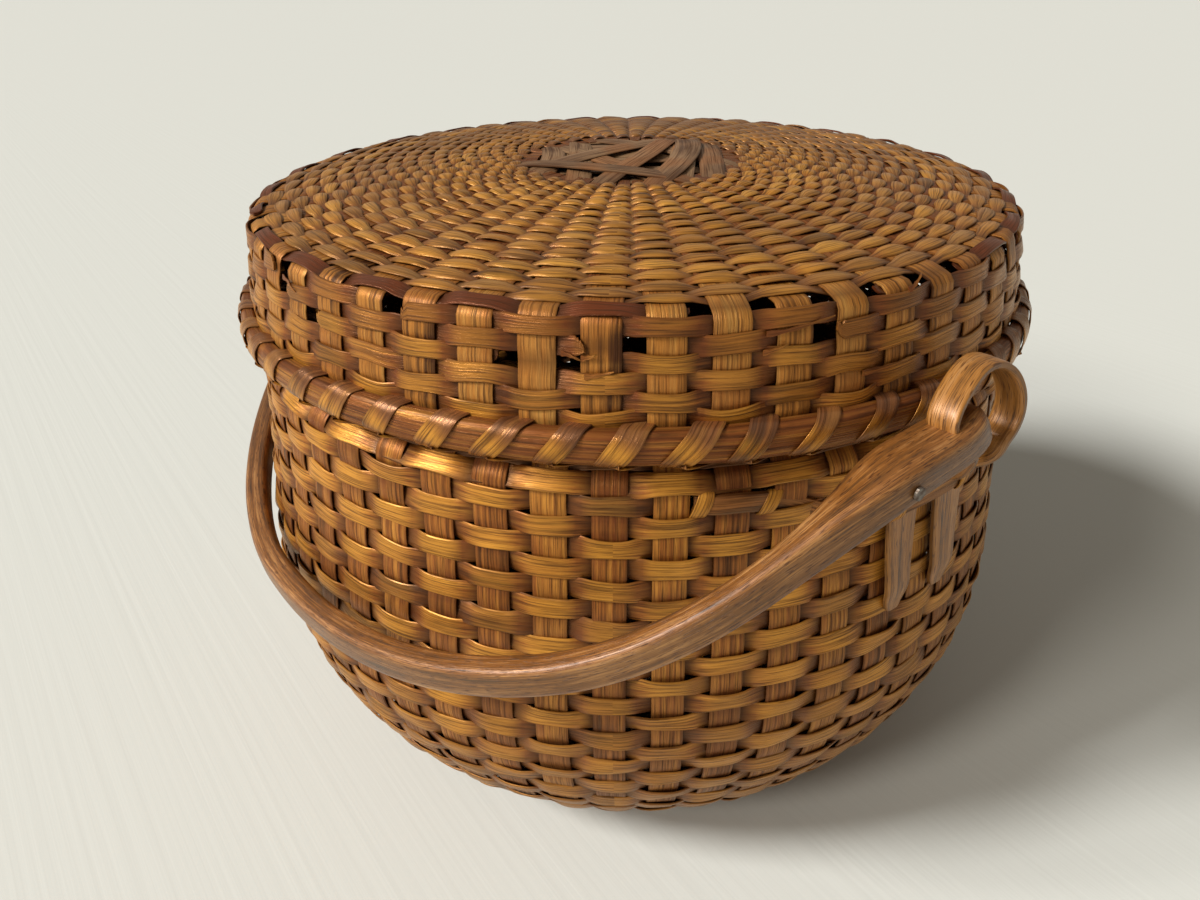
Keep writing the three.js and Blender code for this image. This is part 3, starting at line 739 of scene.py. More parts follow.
class BASKET_OT_stage(Operator):
    """Camera, lamps and pale floor"""

    bl_idname = "basket.stage"
    bl_label = "Stage"

    # Fitted to the photo: place in millimetres, and the directions right and up
    CAMERA_PLACE = (332.7, -262.8, 373.2)
    CAMERA_RIGHT = (0.5958, 0.8031, -0.0107)
    CAMERA_UP = (-0.3927, 0.3030, 0.8683)
    LENS = 27.0
    # Direction to each lamp as (left, toward the camera, up), its width in degrees and its colour
    LAMPS = {
        "key_light": ((0.74, 0.24, 0.63), 14.0, (1.0, 0.985, 0.95)),
        "fill_light": ((0.72, 0.6, 0.6), 12.0, (1.0, 0.95, 0.87)),
    }
    SKY = (1.0, 0.9, 0.76)
    MIRRORED_SKY = (1.0, 0.97, 0.92)
    FLOOR_REACH = 40.0

    def execute(self, context):
        scene = context.scene
        settings = scene.basket_stage
        right, up = (Vector(v).normalized() for v in (self.CAMERA_RIGHT, self.CAMERA_UP))
        back = right.cross(up)
        camera = bpy.data.objects.new("camera", bpy.data.cameras.new("camera"))
        camera.data.lens = self.LENS
        camera.data.sensor_width = 36.0
        camera.data.clip_start = 0.01
        turn = Matrix((right, up, back)).transposed().to_4x4()
        camera.matrix_world = Matrix.Translation(Vector(self.CAMERA_PLACE) * MM) @ turn
        scene.collection.objects.link(camera)
        scene.camera = camera
        scene.view_settings.view_transform = "Standard"
        scene.world = self.sky(settings)

        toward_camera = Vector((back.x, back.y, 0.0)).normalized()
        left = Vector((-right.x, -right.y, 0.0)).normalized()
        for name, strength in (("key_light", settings.key_power), ("fill_light", settings.fill_power)):
            (leftward, nearer, upward), spread, colour = self.LAMPS[name]
            data = bpy.data.lights.new(name, "SUN")
            data.energy, data.angle, data.color = strength, math.radians(spread), colour
            lamp = bpy.data.objects.new(name, data)
            lamp.location = left * leftward + toward_camera * nearer + Vector((0.0, 0.0, upward))
            lamp.rotation_euler = (-lamp.location).to_track_quat("-Z", "Y").to_euler()
            scene.collection.objects.link(lamp)

        half = self.FLOOR_REACH
        corners = [(x * half, y * half, 0) for x, y in ((-1, -1), (1, -1), (1, 1), (-1, 1))]
        mesh = bpy.data.meshes.new("floor")
        mesh.from_pydata(corners, [], [(0, 1, 2, 3)])
        mesh.materials.append(self.floor_material(settings))
        floor = bpy.data.objects.new("floor", mesh)
        scene.collection.objects.link(floor)
        return {"FINISHED"}

    def sky(self, settings):
        """Even light: warm on the weave, whiter in its gloss and as pale as the floor to the camera."""
        world = bpy.data.worlds.new("even_sky")
        world.use_nodes = True
        world.node_tree.nodes.clear()
        node = partial(add_node, world.node_tree)
        strength = settings.world_strength
        shown = node("Background", {"Color": rgba(self.SKY), "Strength": strength})
        mirrored = node("Background", {"Color": rgba(self.MIRRORED_SKY), "Strength": strength * 2})
        backdrop = node("Background", {"Color": rgba(settings.floor), "Strength": 1.0})
        for ray, light in (("Is Glossy Ray", mirrored), ("Is Camera Ray", backdrop)):
            shown = node("MixShader", {0: node("LightPath", output=ray), 1: shown, 2: light})
        node("OutputWorld", {"Surface": shown})
        return world

    @staticmethod
    def floor_material(settings):
        """White-painted board: matt, with faint brush ridges a few millimetres apart."""
        material, node = new_material("white_painted_board")
        place = node("TexCoord", output="Object")
        drawn = node("VectorMath", {0: place, 1: (2.0, 160.0, 1.0)}, operation="MULTIPLY")
        ridges = node("TexNoise", {"Vector": drawn, "Scale": 1.0, "Detail": 3.0})
        bump = node("Bump", {"Height": ridges, "Distance": 0.4 * MM, "Strength": 0.5})
        shader = node("BsdfPrincipled", {
            "Base Color": rgba(settings.floor), "Roughness": 0.7, "Normal": bump})
        node("OutputMaterial", {"Surface": shader})
        return material


# The body


# Counted from the shoulder down, from 0
BAND_ROW = 2
# Degrees from each ear between which the row is missing
BAND_ROW_GAPS = ((-47.3, -22.5), (23.0, 29.0))
# Degrees from each ear between which an old dark splint fills the row in
BAND_ROW_PATCH = (-47.0, -32.0)
# Rows get this much wider and older toward the foot.
WIDER_BELOW = 1.0
OLDER_BELOW = 0.75
FOOT_HUB_RADIUS = 48.0
FOOT_ROW_PITCH = 5.0
FOOT_ROW_WIDTH = 5.2
# Dust thins out up to this height.
DUST_HEIGHT = 190


def side_azimuth(side):
    """Azimuth of the right ear for 1 and of the left one for -1."""
    return side * math.pi / 2


def wall_limits():
    """Runs on the body's line where its wall starts at the foot and ends at the neck."""
    foot_radius = cad_box("base_weave")[1][1]
    start = BODY.run[np.argmax(BODY.radius >= foot_radius - WEAVE_INSET)]
    end = BODY.run_at_height(cad_box("body_weaver_01")[1][2] - 1.0)
    return start, end


def body_rows():
    start, end = wall_limits()
    pitch = (end - start) / BODY_ROWS
    rows = []
    for i in range(BODY_ROWS):
        rng = np.random.default_rng(SEED * 100 + i)
        depth = i / (BODY_ROWS - 1)
        width = mm(weave().body_weaver_width) + rng.normal() * 0.25 + WIDER_BELOW * depth
        age = float(np.clip(0.05 + OLDER_BELOW * depth ** 1.6 + rng.normal() * 0.1, 0, 1))
        rows.append(Row(BODY, end - (i + 0.5) * pitch, i % 2 == 0, BODY_STAKE_AZIMUTH, width,
                        tone=rng.uniform(), age=age))
    # The uppermost row is painted dark, as painted shadow of the rim's hoop.
    rows[0].age = 0.9
    return rows


def foot_rows():
    rows = []
    run = wall_limits()[0] - 1.0
    while run > FOOT_HUB_RADIUS:
        i = BODY_ROWS + len(rows)
        rng = np.random.default_rng(SEED * 200 + i)
        rows.append(Row(BODY, run, i % 2 == 0, BODY_STAKE_AZIMUTH, FOOT_ROW_WIDTH, pinch=0.75,
                        tone=rng.uniform(), age=0.6, thickness=0.6))
        run -= FOOT_ROW_PITCH
    return rows


class BASKET_OT_body_rows(Operator):
    """The body's woven rows, from the shoulder down to the foot"""

    bl_idname = "basket.body_rows"
    bl_label = "Body rows"

    def execute(self, context):
        for i, row in enumerate(body_rows()):
            strips = Splints()
            rng = np.random.default_rng(SEED * 300 + i)
            if i == BAND_ROW:
                # The band over each ear's legs takes this row's place.
                row.weave_with_gaps(strips, rng, [
                    (side_azimuth(side) + math.radians(low), side_azimuth(side) + math.radians(high))
                    for side in (-1, 1) for low, high in BAND_ROW_GAPS])
                row.age, row.tone = 0.3, 0.05
                for side in (-1, 1):
                    start, end = (side_azimuth(side) + math.radians(turn) for turn in BAND_ROW_PATCH)
                    row.weave_into(strips, rng, start=start, end=end)
            else:
                row.weave_into(strips, rng)
            strips.make(f"woven_row_{i + 1:02d}", "varnished_ash_weaver", "basket", "body_splint",
                        f"body_weaver_{i + 1:02d}")
        return {"FINISHED"}


class BASKET_OT_body_stakes(Operator):
    """The 52 upright splints of the body, from the foot's hub to the top of the neck"""

    bl_idname = "basket.body_stakes"
    bl_label = "Body stakes"

    def execute(self, context):
        strips = Splints()
        # Dust has gathered toward the foot.
        dust_and_shade = lambda places: 0.8 * np.clip(1 - places[:, 2] / DUST_HEIGHT, 0, 1)
        stakes_into(strips, BODY, FOOT_HUB_RADIUS - 6, BODY.length, body_rows() + foot_rows(),
                    BODY_STAKE_AZIMUTH, np.random.default_rng(SEED), dust_and_shade)
        strips.make("upright_splints", "varnished_ash_stake", "basket", "body_splint", "body_stakes_foot",
                    "body_stakes_lower", "body_stakes_upper", "body_stakes_neck")
        return {"FINISHED"}


# Splints that cross in a hub: their widths, how far they reach under the rows, how much each lies
# over the last, their thickness and how far they bend sideways
HUB_WIDTHS = (10.5, 13.5)
HUB_REACH = (3, 8)
HUB_STEP = 0.24
HUB_THICKNESS = 0.7
HUB_BEND = 3.0


def hub_into(strips, profile, middle_run, hub_radius, layers, arch, rng, sign):
    """Adds the splints that cross over the middle of a woven disc, each a little over the last.
    layers are (direction in degrees, distance from the middle), and sign is 1 where up is outside."""
    t = np.linspace(-1, 1, 40)
    for i, (turn, shift) in enumerate(layers):
        width = rng.uniform(*HUB_WIDTHS)
        reach = hub_radius + rng.uniform(*HUB_REACH)
        spoke, beside = directions(math.radians(turn))
        bend = rng.normal() * HUB_BEND
        half = math.sqrt(max(reach ** 2 - shift ** 2, 1.0))
        places = spoke * (t * half)[:, None] + beside * (shift + bend * (1 - t ** 2))[:, None]
        run = np.abs(middle_run - np.hypot(*places[:, :2].T))
        stack = HUB_STEP * (i - len(layers) / 2) + rng.uniform(0, arch)
        # The ends dive under the rows.
        stack = stack * (1 - t ** 4) - 0.9 * t ** 6
        places[:, 2] = profile.at(run)[1] + sign * stack
        roll = rng.normal() * 0.05 * arch
        out = np.tile(UP * sign + beside * roll, (len(t), 1))
        side = np.tile(beside - UP * sign * roll, (len(t), 1))
        strips.add(places, out, side, width * (1 - 0.15 * t ** 4), HUB_THICKNESS, rng.uniform(),
                   rng.uniform(0, 0.3), 0.4 + 0.3 * (1 - t ** 2), crown=0.15)


class BASKET_OT_foot(Operator):
    """The woven foot: its rows and the splints that cross in its middle"""

    bl_idname = "basket.foot"
    bl_label = "Foot"

    # Direction in degrees and distance from the middle in millimetres of each splint
    HUB = ((0, -20), (90, 14), (48, 24), (135, -22), (0, 12), (90, -10), (24, 0), (112, 2))

    def execute(self, context):
        strips = Splints()
        for i, row in enumerate(foot_rows()):
            row.weave_into(strips, np.random.default_rng(SEED * 400 + i), samples=6)
        rng = np.random.default_rng(SEED + 11)
        hub_into(strips, BODY, 0.0, FOOT_HUB_RADIUS, self.HUB, 0.0, rng, -1)
        strips.make("woven_foot", "varnished_ash_stake", "basket", "base_splint", "base_weave")
        return {"FINISHED"}


def make_hoop(name, body, node, flat_radius, round_radius, bottom, top, rng, age, tone):
    """A hoop of split wood: flat toward the wall, rounded away from it."""
    strips = Splints()
    azimuth = np.linspace(0, TAU, 208, endpoint=False)
    middle = (flat_radius + round_radius) / 2 + wobble(azimuth, rng, 0.12)
    height = (top + bottom) / 2 + wobble(azimuth, rng, 0.2)
    spoke, _ = directions(azimuth)
    up = np.tile(UP, (len(azimuth), 1))
    places = spoke * middle[:, None] + up * height[:, None]
    section = round_section(16, 2.6)
    flat = section[:, 1] < 0
    section[flat, 1] = -np.abs(section[flat, 1]) ** 0.4
    out = spoke if round_radius > flat_radius else -spoke
    strips.add(places, out, up, (top - bottom) * (1 + wobble(azimuth, rng, 0.02)),
               abs(round_radius - flat_radius), tone, age, 0.6, closed=True, section=section)
    strips.make(name, "split_wood_hoop", body, "rim_hoop", node)


def average_round(values):
    """values on a loop, each averaged over its neighbours three times."""
    for _ in range(3):
        values = (np.roll(values, 1) + 2 * values + np.roll(values, -1)) / 4
    return values


# How unevenly the wraps lean (share), are spaced (radians) and are cut in width (share)
WRAP_LEAN_SPREAD = 0.12
WRAP_PLACE_SPREAD = 0.006
WRAP_WIDTH_SPREAD = 0.07


def make_lashing(name, body, node, corners, front, first_azimuth, lean, width, thickness, rng):
    """The wraps of a splint round the hoops, one to a stake. corners are (radius, height, share of the
    lean), and front is the share at the middle of a wrap's outer face, which is painted brightest, as wear
    and a painted highlight; away from it the wrap is painted darker and greyer."""
    strips = Splints()
    count = weave().stakes
    loop = np.array([*corners, corners[0]])
    runs = runs_of(loop[:, :2])
    dense = np.linspace(0, runs[-1], 49)[:-1]
    radius, height, share = (average_round(np.interp(dense, runs, values)) for values in loop.T)
    for k in range(count):
        lean_k = lean * (1 + rng.normal() * WRAP_LEAN_SPREAD)
        place = first_azimuth + TAU * k / count + rng.normal() * WRAP_PLACE_SPREAD
        azimuth = place + lean_k * share
        spoke, round_it = directions(azimuth)
        places = spoke * radius[:, None] + UP * height[:, None]
        along = unit(np.roll(places, -1, 0) - np.roll(places, 1, 0))
        away = places - (spoke * radius.mean() + UP * height.mean())
        away = away - along * (away * along).sum(1)[:, None]
        side = square_to(round_it, along)
        out = np.cross(along, side)
        out *= np.sign((out * away).sum(1))[:, None]
        # The middle of the outer face is painted gold as wear and a painted highlight; the rest darker and
        # greyer.
        wear_and_sheen = np.clip(1.25 - np.abs(share - front + 0.04) / 0.18, 0, 1)
        strips.add(places, out, side, width * (1 + rng.normal() * WRAP_WIDTH_SPREAD), thickness,
                   rng.uniform(), 0.6 * (1 - wear_and_sheen), 0.6 + 0.4 * wear_and_sheen, crown=0.25, closed=True)
    strips.make(name, "glossy_lashing_splint", body, "lashing", node)


# Thickness of the inner hoops of both rims
INNER_HOOP = 2.8


class BASKET_OT_body_rim(Operator):
    """Neck band, the two hoops of the body's rim and their lashing, which the lid hides"""

    bl_idname = "basket.body_rim"
    bl_label = "Body rim"

    LASHING_LEAN = 0.07
    LASHING_WIDTH = 6.5
    LASHING_THICKNESS = 0.5

    def execute(self, context):
        rng = np.random.default_rng(SEED + 21)
        low, high = cad_box("neck_band")
        band = Row(BODY, BODY.run_at_height((low[2] + high[2]) / 2), BODY_ROWS % 2 == 1,
                   BODY_STAKE_AZIMUTH, high[2] - low[2], tone=0.4, age=0.5)
        strips = Splints()
        band.weave_into(strips, rng)
        strips.make("neck_row", "varnished_ash_weaver", "basket", "dark_splint", "neck_band")

        low, high = cad_box("body_rim_outer_hoop")
        outer = high[1]
        make_hoop("rim_rod_outer", "basket", "body_rim_outer_hoop", NECK_RADIUS + NECK_GAP / 2, outer,
                  low[2], high[2], rng, 0.3, 0.3)
        low, high = cad_box("body_rim_inner_hoop")
        inner = high[1] - INNER_HOOP
        make_hoop("rim_rod_inner", "basket", "body_rim_inner_hoop", high[1], inner, low[2], high[2],
                  rng, 0.3, 0.7)
        top, bottom = high[2] + 0.6, low[2] - 0.6
        corners = [(outer + 0.5, bottom + 1, 0.0), (outer + 0.5, top - 1, 0.5), (outer - 1, top, 0.52),
                   (inner + 1, top, 0.6), (inner - 0.5, top - 1, 0.62), (inner - 0.5, bottom + 1, 0.9),
                   (inner + 1, bottom, 0.95), (outer - 1, bottom, 0.0)]
        make_lashing("rim_wraps", "basket", "body_rim_lashing", corners, 0.25,
                     BODY_STAKE_AZIMUTH + 0.5 * TAU / weave().stakes, self.LASHING_LEAN,
                     self.LASHING_WIDTH, self.LASHING_THICKNESS, rng)
        return {"FINISHED"}


# The lid


LID_HUB_RADIUS = 50.0
LID_WALL_PITCH = 5.95
# Widths of the wall's rows, from the top down
LID_ROW_WIDTHS = (5.7, 5.9, 6.3, 6.3, 6.7, 6.4, 6.1)
# The lid's two uppermost rows are darker than the rest.
LID_DARK_ROWS = 2
# Distance between the top's rows at its edge and at the hub
LID_TOP_PITCH = 4.15
LID_TOP_PITCH_INNER = 3.45


def lid_wall_rows():
    """The seven rows of the lid's wall and corner, from the top down."""
    lowest = LID.run_at_height(cad_box("lid_rim_outer_hoop")[1][2] + 1.6)
    rows = []
    for i, width in enumerate(LID_ROW_WIDTHS[:LID_ROWS]):
        rng = np.random.default_rng(SEED * 500 + i)
        tone = rng.uniform()
        age = float(np.clip((0.85 if i < LID_DARK_ROWS else 0.28) + 0.15 * rng.normal(), 0, 1))
        rows.append(Row(LID, lowest + (LID_ROWS - 1 - i) * LID_WALL_PITCH, i % 2 == 0, LID_STAKE_AZIMUTH,
                        width, tone=tone, age=age, unevenness=0.45))
    return rows


def lid_top_rows():
    """The rows of the lid's top, from its edge in to the hub."""
    first = run = lid_wall_rows()[0].run + LID_WALL_PITCH
    end = LID.length - LID_HUB_RADIUS
    rows = []
    while run < end:
        # Counted on from the wall's rows, so that over and under go on across the corner
        i = -1 - len(rows)
        rng = np.random.default_rng(SEED * 600 - i)
        share = (run - first) / (end - first)
        pitch = LID_TOP_PITCH + (LID_TOP_PITCH_INNER - LID_TOP_PITCH) * share
        width = mm(weave().top_weaver_width) * pitch / LID_TOP_PITCH
        tone = rng.uniform()
        age = float(np.clip(0.2 + 0.2 * rng.normal(), 0, 1))
        # The top's rows are painted darker toward the back, as painted shade.
        rows.append(Row(LID, run, i % 2 == 0, LID_STAKE_AZIMUTH, width, pinch=0.45, tone=tone, age=age,
                        unevenness=0.25, thickness=0.6, crown=0.6, dust_and_shade=0.45))
        run += pitch
    return rows


SLIVER_WIDTH = 1.9
SLIVER_THICKNESS = 0.4


def sliver_into(strips, row, start, end, rise, out, rng):
    """Adds a thin sliver that has sprung from a row's edge and points away from it."""
    azimuth = np.linspace(start, end, 14)
    share = np.linspace(0, 1, 14)
    sprung = share ** 1.6
    run = row.run + 0.35 * row.width * math.copysign(1, rise) + rise * sprung
    offset = 1.6 + out * sprung + 0.4 * np.sin(share * 9 + rng.uniform(0, TAU)) * sprung
    places, outward, up, _ = row.profile.frame_at(run, azimuth, offset)
    width = SLIVER_WIDTH * (1 - 0.75 * share) * (1 + 0.25 * np.sin(share * 17))
    strips.add(places, outward, up, width, SLIVER_THICKNESS, row.tone, row.age, 0.5 + 0.5 * share)


class BASKET_OT_lid_stakes(Operator):
    """The lid's upright splints, up its wall, over its corner and in to the hub"""

    bl_idname = "basket.lid_stakes"
    bl_label = "Lid stakes"

    def execute(self, context):
        strips = Splints()
        # The splints' dark inner side is up on the lid's top, as they were bent over its corner.
        top_radius = cad_box("lid_top_weave")[1][1]
        dark_on_top = lambda places: 0.75 * (1 - smoothstep(
            np.hypot(places[:, 0], places[:, 1]), top_radius - 12, top_radius - 4))
        stakes_into(strips, LID, 0, LID.length - LID_HUB_RADIUS + 8, lid_wall_rows() + lid_top_rows(),
                    LID_STAKE_AZIMUTH, np.random.default_rng(SEED + 31), dark_on_top)
        strips.make("lid_uprights", "pale_ash_stake", "lid", "lid_splint", "lid_stakes")
        return {"FINISHED"}


class BASKET_OT_lid_rows(Operator):
    """The rows on the lid's wall, torn and missing in places"""

    bl_idname = "basket.lid_rows"
    bl_label = "Lid wall rows"

    # Missing stretches of the rows, in stakes from the one at LID_STAKE_AZIMUTH
    GAPS = {
        0: [(-9.7, -8.5), (1.35, 4.55), (5.2, 6.6)],
        1: [(-6.8, -6.3), (-3.8, -3.3), (8.4, 9.5)],
        2: [(-6.75, -6.3), (-0.25, 0.7), (3.3, 3.7)],
        3: [(-5.8, -5.3), (-1.62, -0.3)],
    }
    # Slivers torn off the rows' edges: row, start and end in stakes, rise along them and distance out
    SLIVERS = [
        (2, 2.5, 3.6, 3.5, 0.8), (3, 2.45, 2.85, 2.2, 0.7), (1, 5.1, 5.5, 3.0, 1.2),
        (2, -0.6, -0.3, -2.0, 0.6), (3, -0.3, -0.05, 1.6, 0.5), (4, -0.25, 0.2, 2.0, 0.4),
        (1, -6.4, -5.9, -3.0, 0.7), (5, 4.2, 5.3, 1.5, 0.5), (2, 11.2, 12.4, 2.5, 0.8),
        (4, -15.3, -14.4, 2.0, 0.7),
    ]

    def execute(self, context):
        pitch = TAU / weave().stakes
        at_stake = lambda place: LID_STAKE_AZIMUTH + place * pitch
        for i, row in enumerate(lid_wall_rows()):
            rng = np.random.default_rng(SEED * 700 + i)
            strips = Splints()
            gaps = [(at_stake(low), at_stake(high)) for low, high in self.GAPS.get(i, [])]
            if gaps:
                row.weave_with_gaps(strips, rng, gaps)
            else:
                row.weave_into(strips, rng)
            for place, low, high, rise, out in self.SLIVERS:
                if place == i:
                    sliver_into(strips, row, at_stake(low), at_stake(high), rise, out, rng)
            slot = "dark_splint" if i < LID_DARK_ROWS else "lid_splint"
            strips.make(f"lid_row_{i + 1:02d}", "reddened_ash_weaver", "lid", slot,
                        f"lid_weaver_{i + 1:02d}")
        return {"FINISHED"}


class BASKET_OT_lid_top(Operator):
    """The woven rows on the lid's top and the splints that cross in its open hub"""

    bl_idname = "basket.lid_top"
    bl_label = "Lid top"

    # Direction in degrees and distance from the middle in millimetres of each splint, lowest first
    HUB = (
        (143, -36), (143, -20), (146, -3), (141, 14), (144, 30), (143, 43), (52, -40), (54, -24),
        (86, -12), (50, 36), (98, 20), (47, 24), (8, -12), (118, -30), (33, 3), (41, 17),
    )

    def execute(self, context):
        strips = Splints()
        for i, row in enumerate(lid_top_rows()):
            row.weave_into(strips, np.random.default_rng(SEED * 800 + i), samples=6)
        rng = np.random.default_rng(SEED + 41)
        hub = Splints()
        hub_into(hub, LID, LID.length, LID_HUB_RADIUS, self.HUB, 0.8, rng, 1)
        hub.make("lid_hub_splints", "dry_hub_splint", "lid", "lid_splint", "lid_top_weave")
        strips.make("lid_top_rows", "glossy_ash_weaver", "lid", "lid_splint", "lid_top_weave")
        return {"FINISHED"}


class BASKET_OT_lid_rim(Operator):
    """The lid's two hoops and the slanted wraps that bind them"""

    bl_idname = "basket.lid_rim"
    bl_label = "Lid rim"

    OUTER_HOOP = 6.3
    # A wrap's middle is seen at this azimuth in the photo.
    LASHING_AZIMUTH = math.radians(51.0)
    LASHING_FRONT = 0.33
    LASHING_LEAN = 0.095
    LASHING_WIDTH = 8.6
    LASHING_THICKNESS = 0.55

    def execute(self, context):
        rng = np.random.default_rng(SEED + 51)
        low, high = cad_box("lid_rim_outer_hoop")
        outer, bottom, top = high[1], low[2], high[2]
        make_hoop("lid_rod_outer", "lid", "lid_rim_outer_hoop", outer - self.OUTER_HOOP, outer, bottom,
                  top, rng, 0.35, 0.35)
        flat = cad_box("lid_rim_inner_hoop")[1][1]
        inner = flat - INNER_HOOP
        make_hoop("lid_rod_inner", "lid", "lid_rim_inner_hoop", flat, inner, bottom, top, rng, 0.35, 0.6)
        corners = [(outer - 2.2, bottom - 0.5, 0.02), (outer + 0.1, bottom + 2.6, 0.16),
                   (outer + 0.6, (top + bottom) / 2, self.LASHING_FRONT), (outer + 0.1, top - 2.4, 0.5),
                   (outer - 2.4, top + 0.5, 0.62), (inner + 5, top + 0.5, 0.75),
                   (inner + 1, top + 0.3, 0.8), (inner - 0.5, top - 2, 0.85),
                   (inner - 0.5, bottom + 2, 1.0), (inner + 1, bottom - 0.4, 1.0)]
        make_lashing("lid_wraps", "lid", "lid_rim_lashing", corners, self.LASHING_FRONT,
                     self.LASHING_AZIMUTH - self.LASHING_FRONT * self.LASHING_LEAN, self.LASHING_LEAN,
                     self.LASHING_WIDTH, self.LASHING_THICKNESS, rng)
        return {"FINISHED"}


# Handle and ears


PIVOT = np.array(next(j["pos_m"] for j in frame["record"]["behaviour"]["joints"] if "pos_m" in j)) / MM
# Half the distance between the ears' loops, in which the bow's eyes hang
HALF_SPAN = 193.5

# The strap of an ear, its legs' distance from the middle, and where they start on the wall
EAR_THICKNESS = 3.0
EAR_WIDTH = 11.2
EAR_LEG_Y = 12.0
EAR_LEG_TOP = 200.0
# How far the middle of a leg stands out from the middle of the weave
EAR_LEG_OUT = WEAVE_INSET + 1.8
# How much wider than the loop the ear's legs are where they start
LEG_SPREAD = 6.0
# The legs end this far above the CAD ear's lowest point.
LEG_SHORT = 7
# The loop stands this far out. The bow's weight has pulled its top in, down and forward, and its
# front out to a drop.
LOOP_OUT = 1.0
LOOP_PULLED_IN = 5.5
LOOP_PULLED_DOWN = 1.5
LOOP_LEAN = 2.5
LOOP_DROP = 6.0

# The lashed band over each ear's legs: how far it reaches either way, its heights and its section
EAR_BAND_TURNS = (math.radians(-31), math.radians(30))
EAR_BAND_LOW = 194.5
EAR_BAND_HIGH = 208.0
EAR_BAND_WIDTH = 7.4
EAR_BAND_THICKNESS = 1.9
# The short splints that bind it: half their height and depth, and their width
BINDING_HALF_HEIGHT = 4.6
BINDING_HALF_DEPTH = 1.9
BINDING_WIDTH = 5.2
# Turns away from the ear between which the band leaves the legs, and between which it climbs
OVER_LEGS = (math.radians(8), math.radians(14))
BAND_CLIMB = (math.radians(9), math.radians(26))
# Turn from the ear to the splint that binds the band at each leg, in radians
LEG_BINDING_TURN = 0.105


def catmull(points, steps):
    """A smooth line through points, with that many steps from each to the next."""
    points = np.array(points, dtype=float)
    padded = np.concatenate([[2 * points[0] - points[1]], points, [2 * points[-1] - points[-2]]])
    t = np.arange(steps)[:, None] / steps
    parts = []
    for i in range(1, len(padded) - 2):
        a, b, c, d = padded[i - 1:i + 3]
        parts.append(0.5 * (2 * b + (c - a) * t + (2 * a - 5 * b + 4 * c - d) * t ** 2
                            + (3 * b - a - 3 * c + d) * t ** 3))
    return np.concatenate([*parts, points[-1:]])


def wall_radius(height):
    """Radius of the body's wall at a height."""
    wall = BODY.radius > 90
    return float(np.interp(height, BODY.height[wall], BODY.radius[wall]))


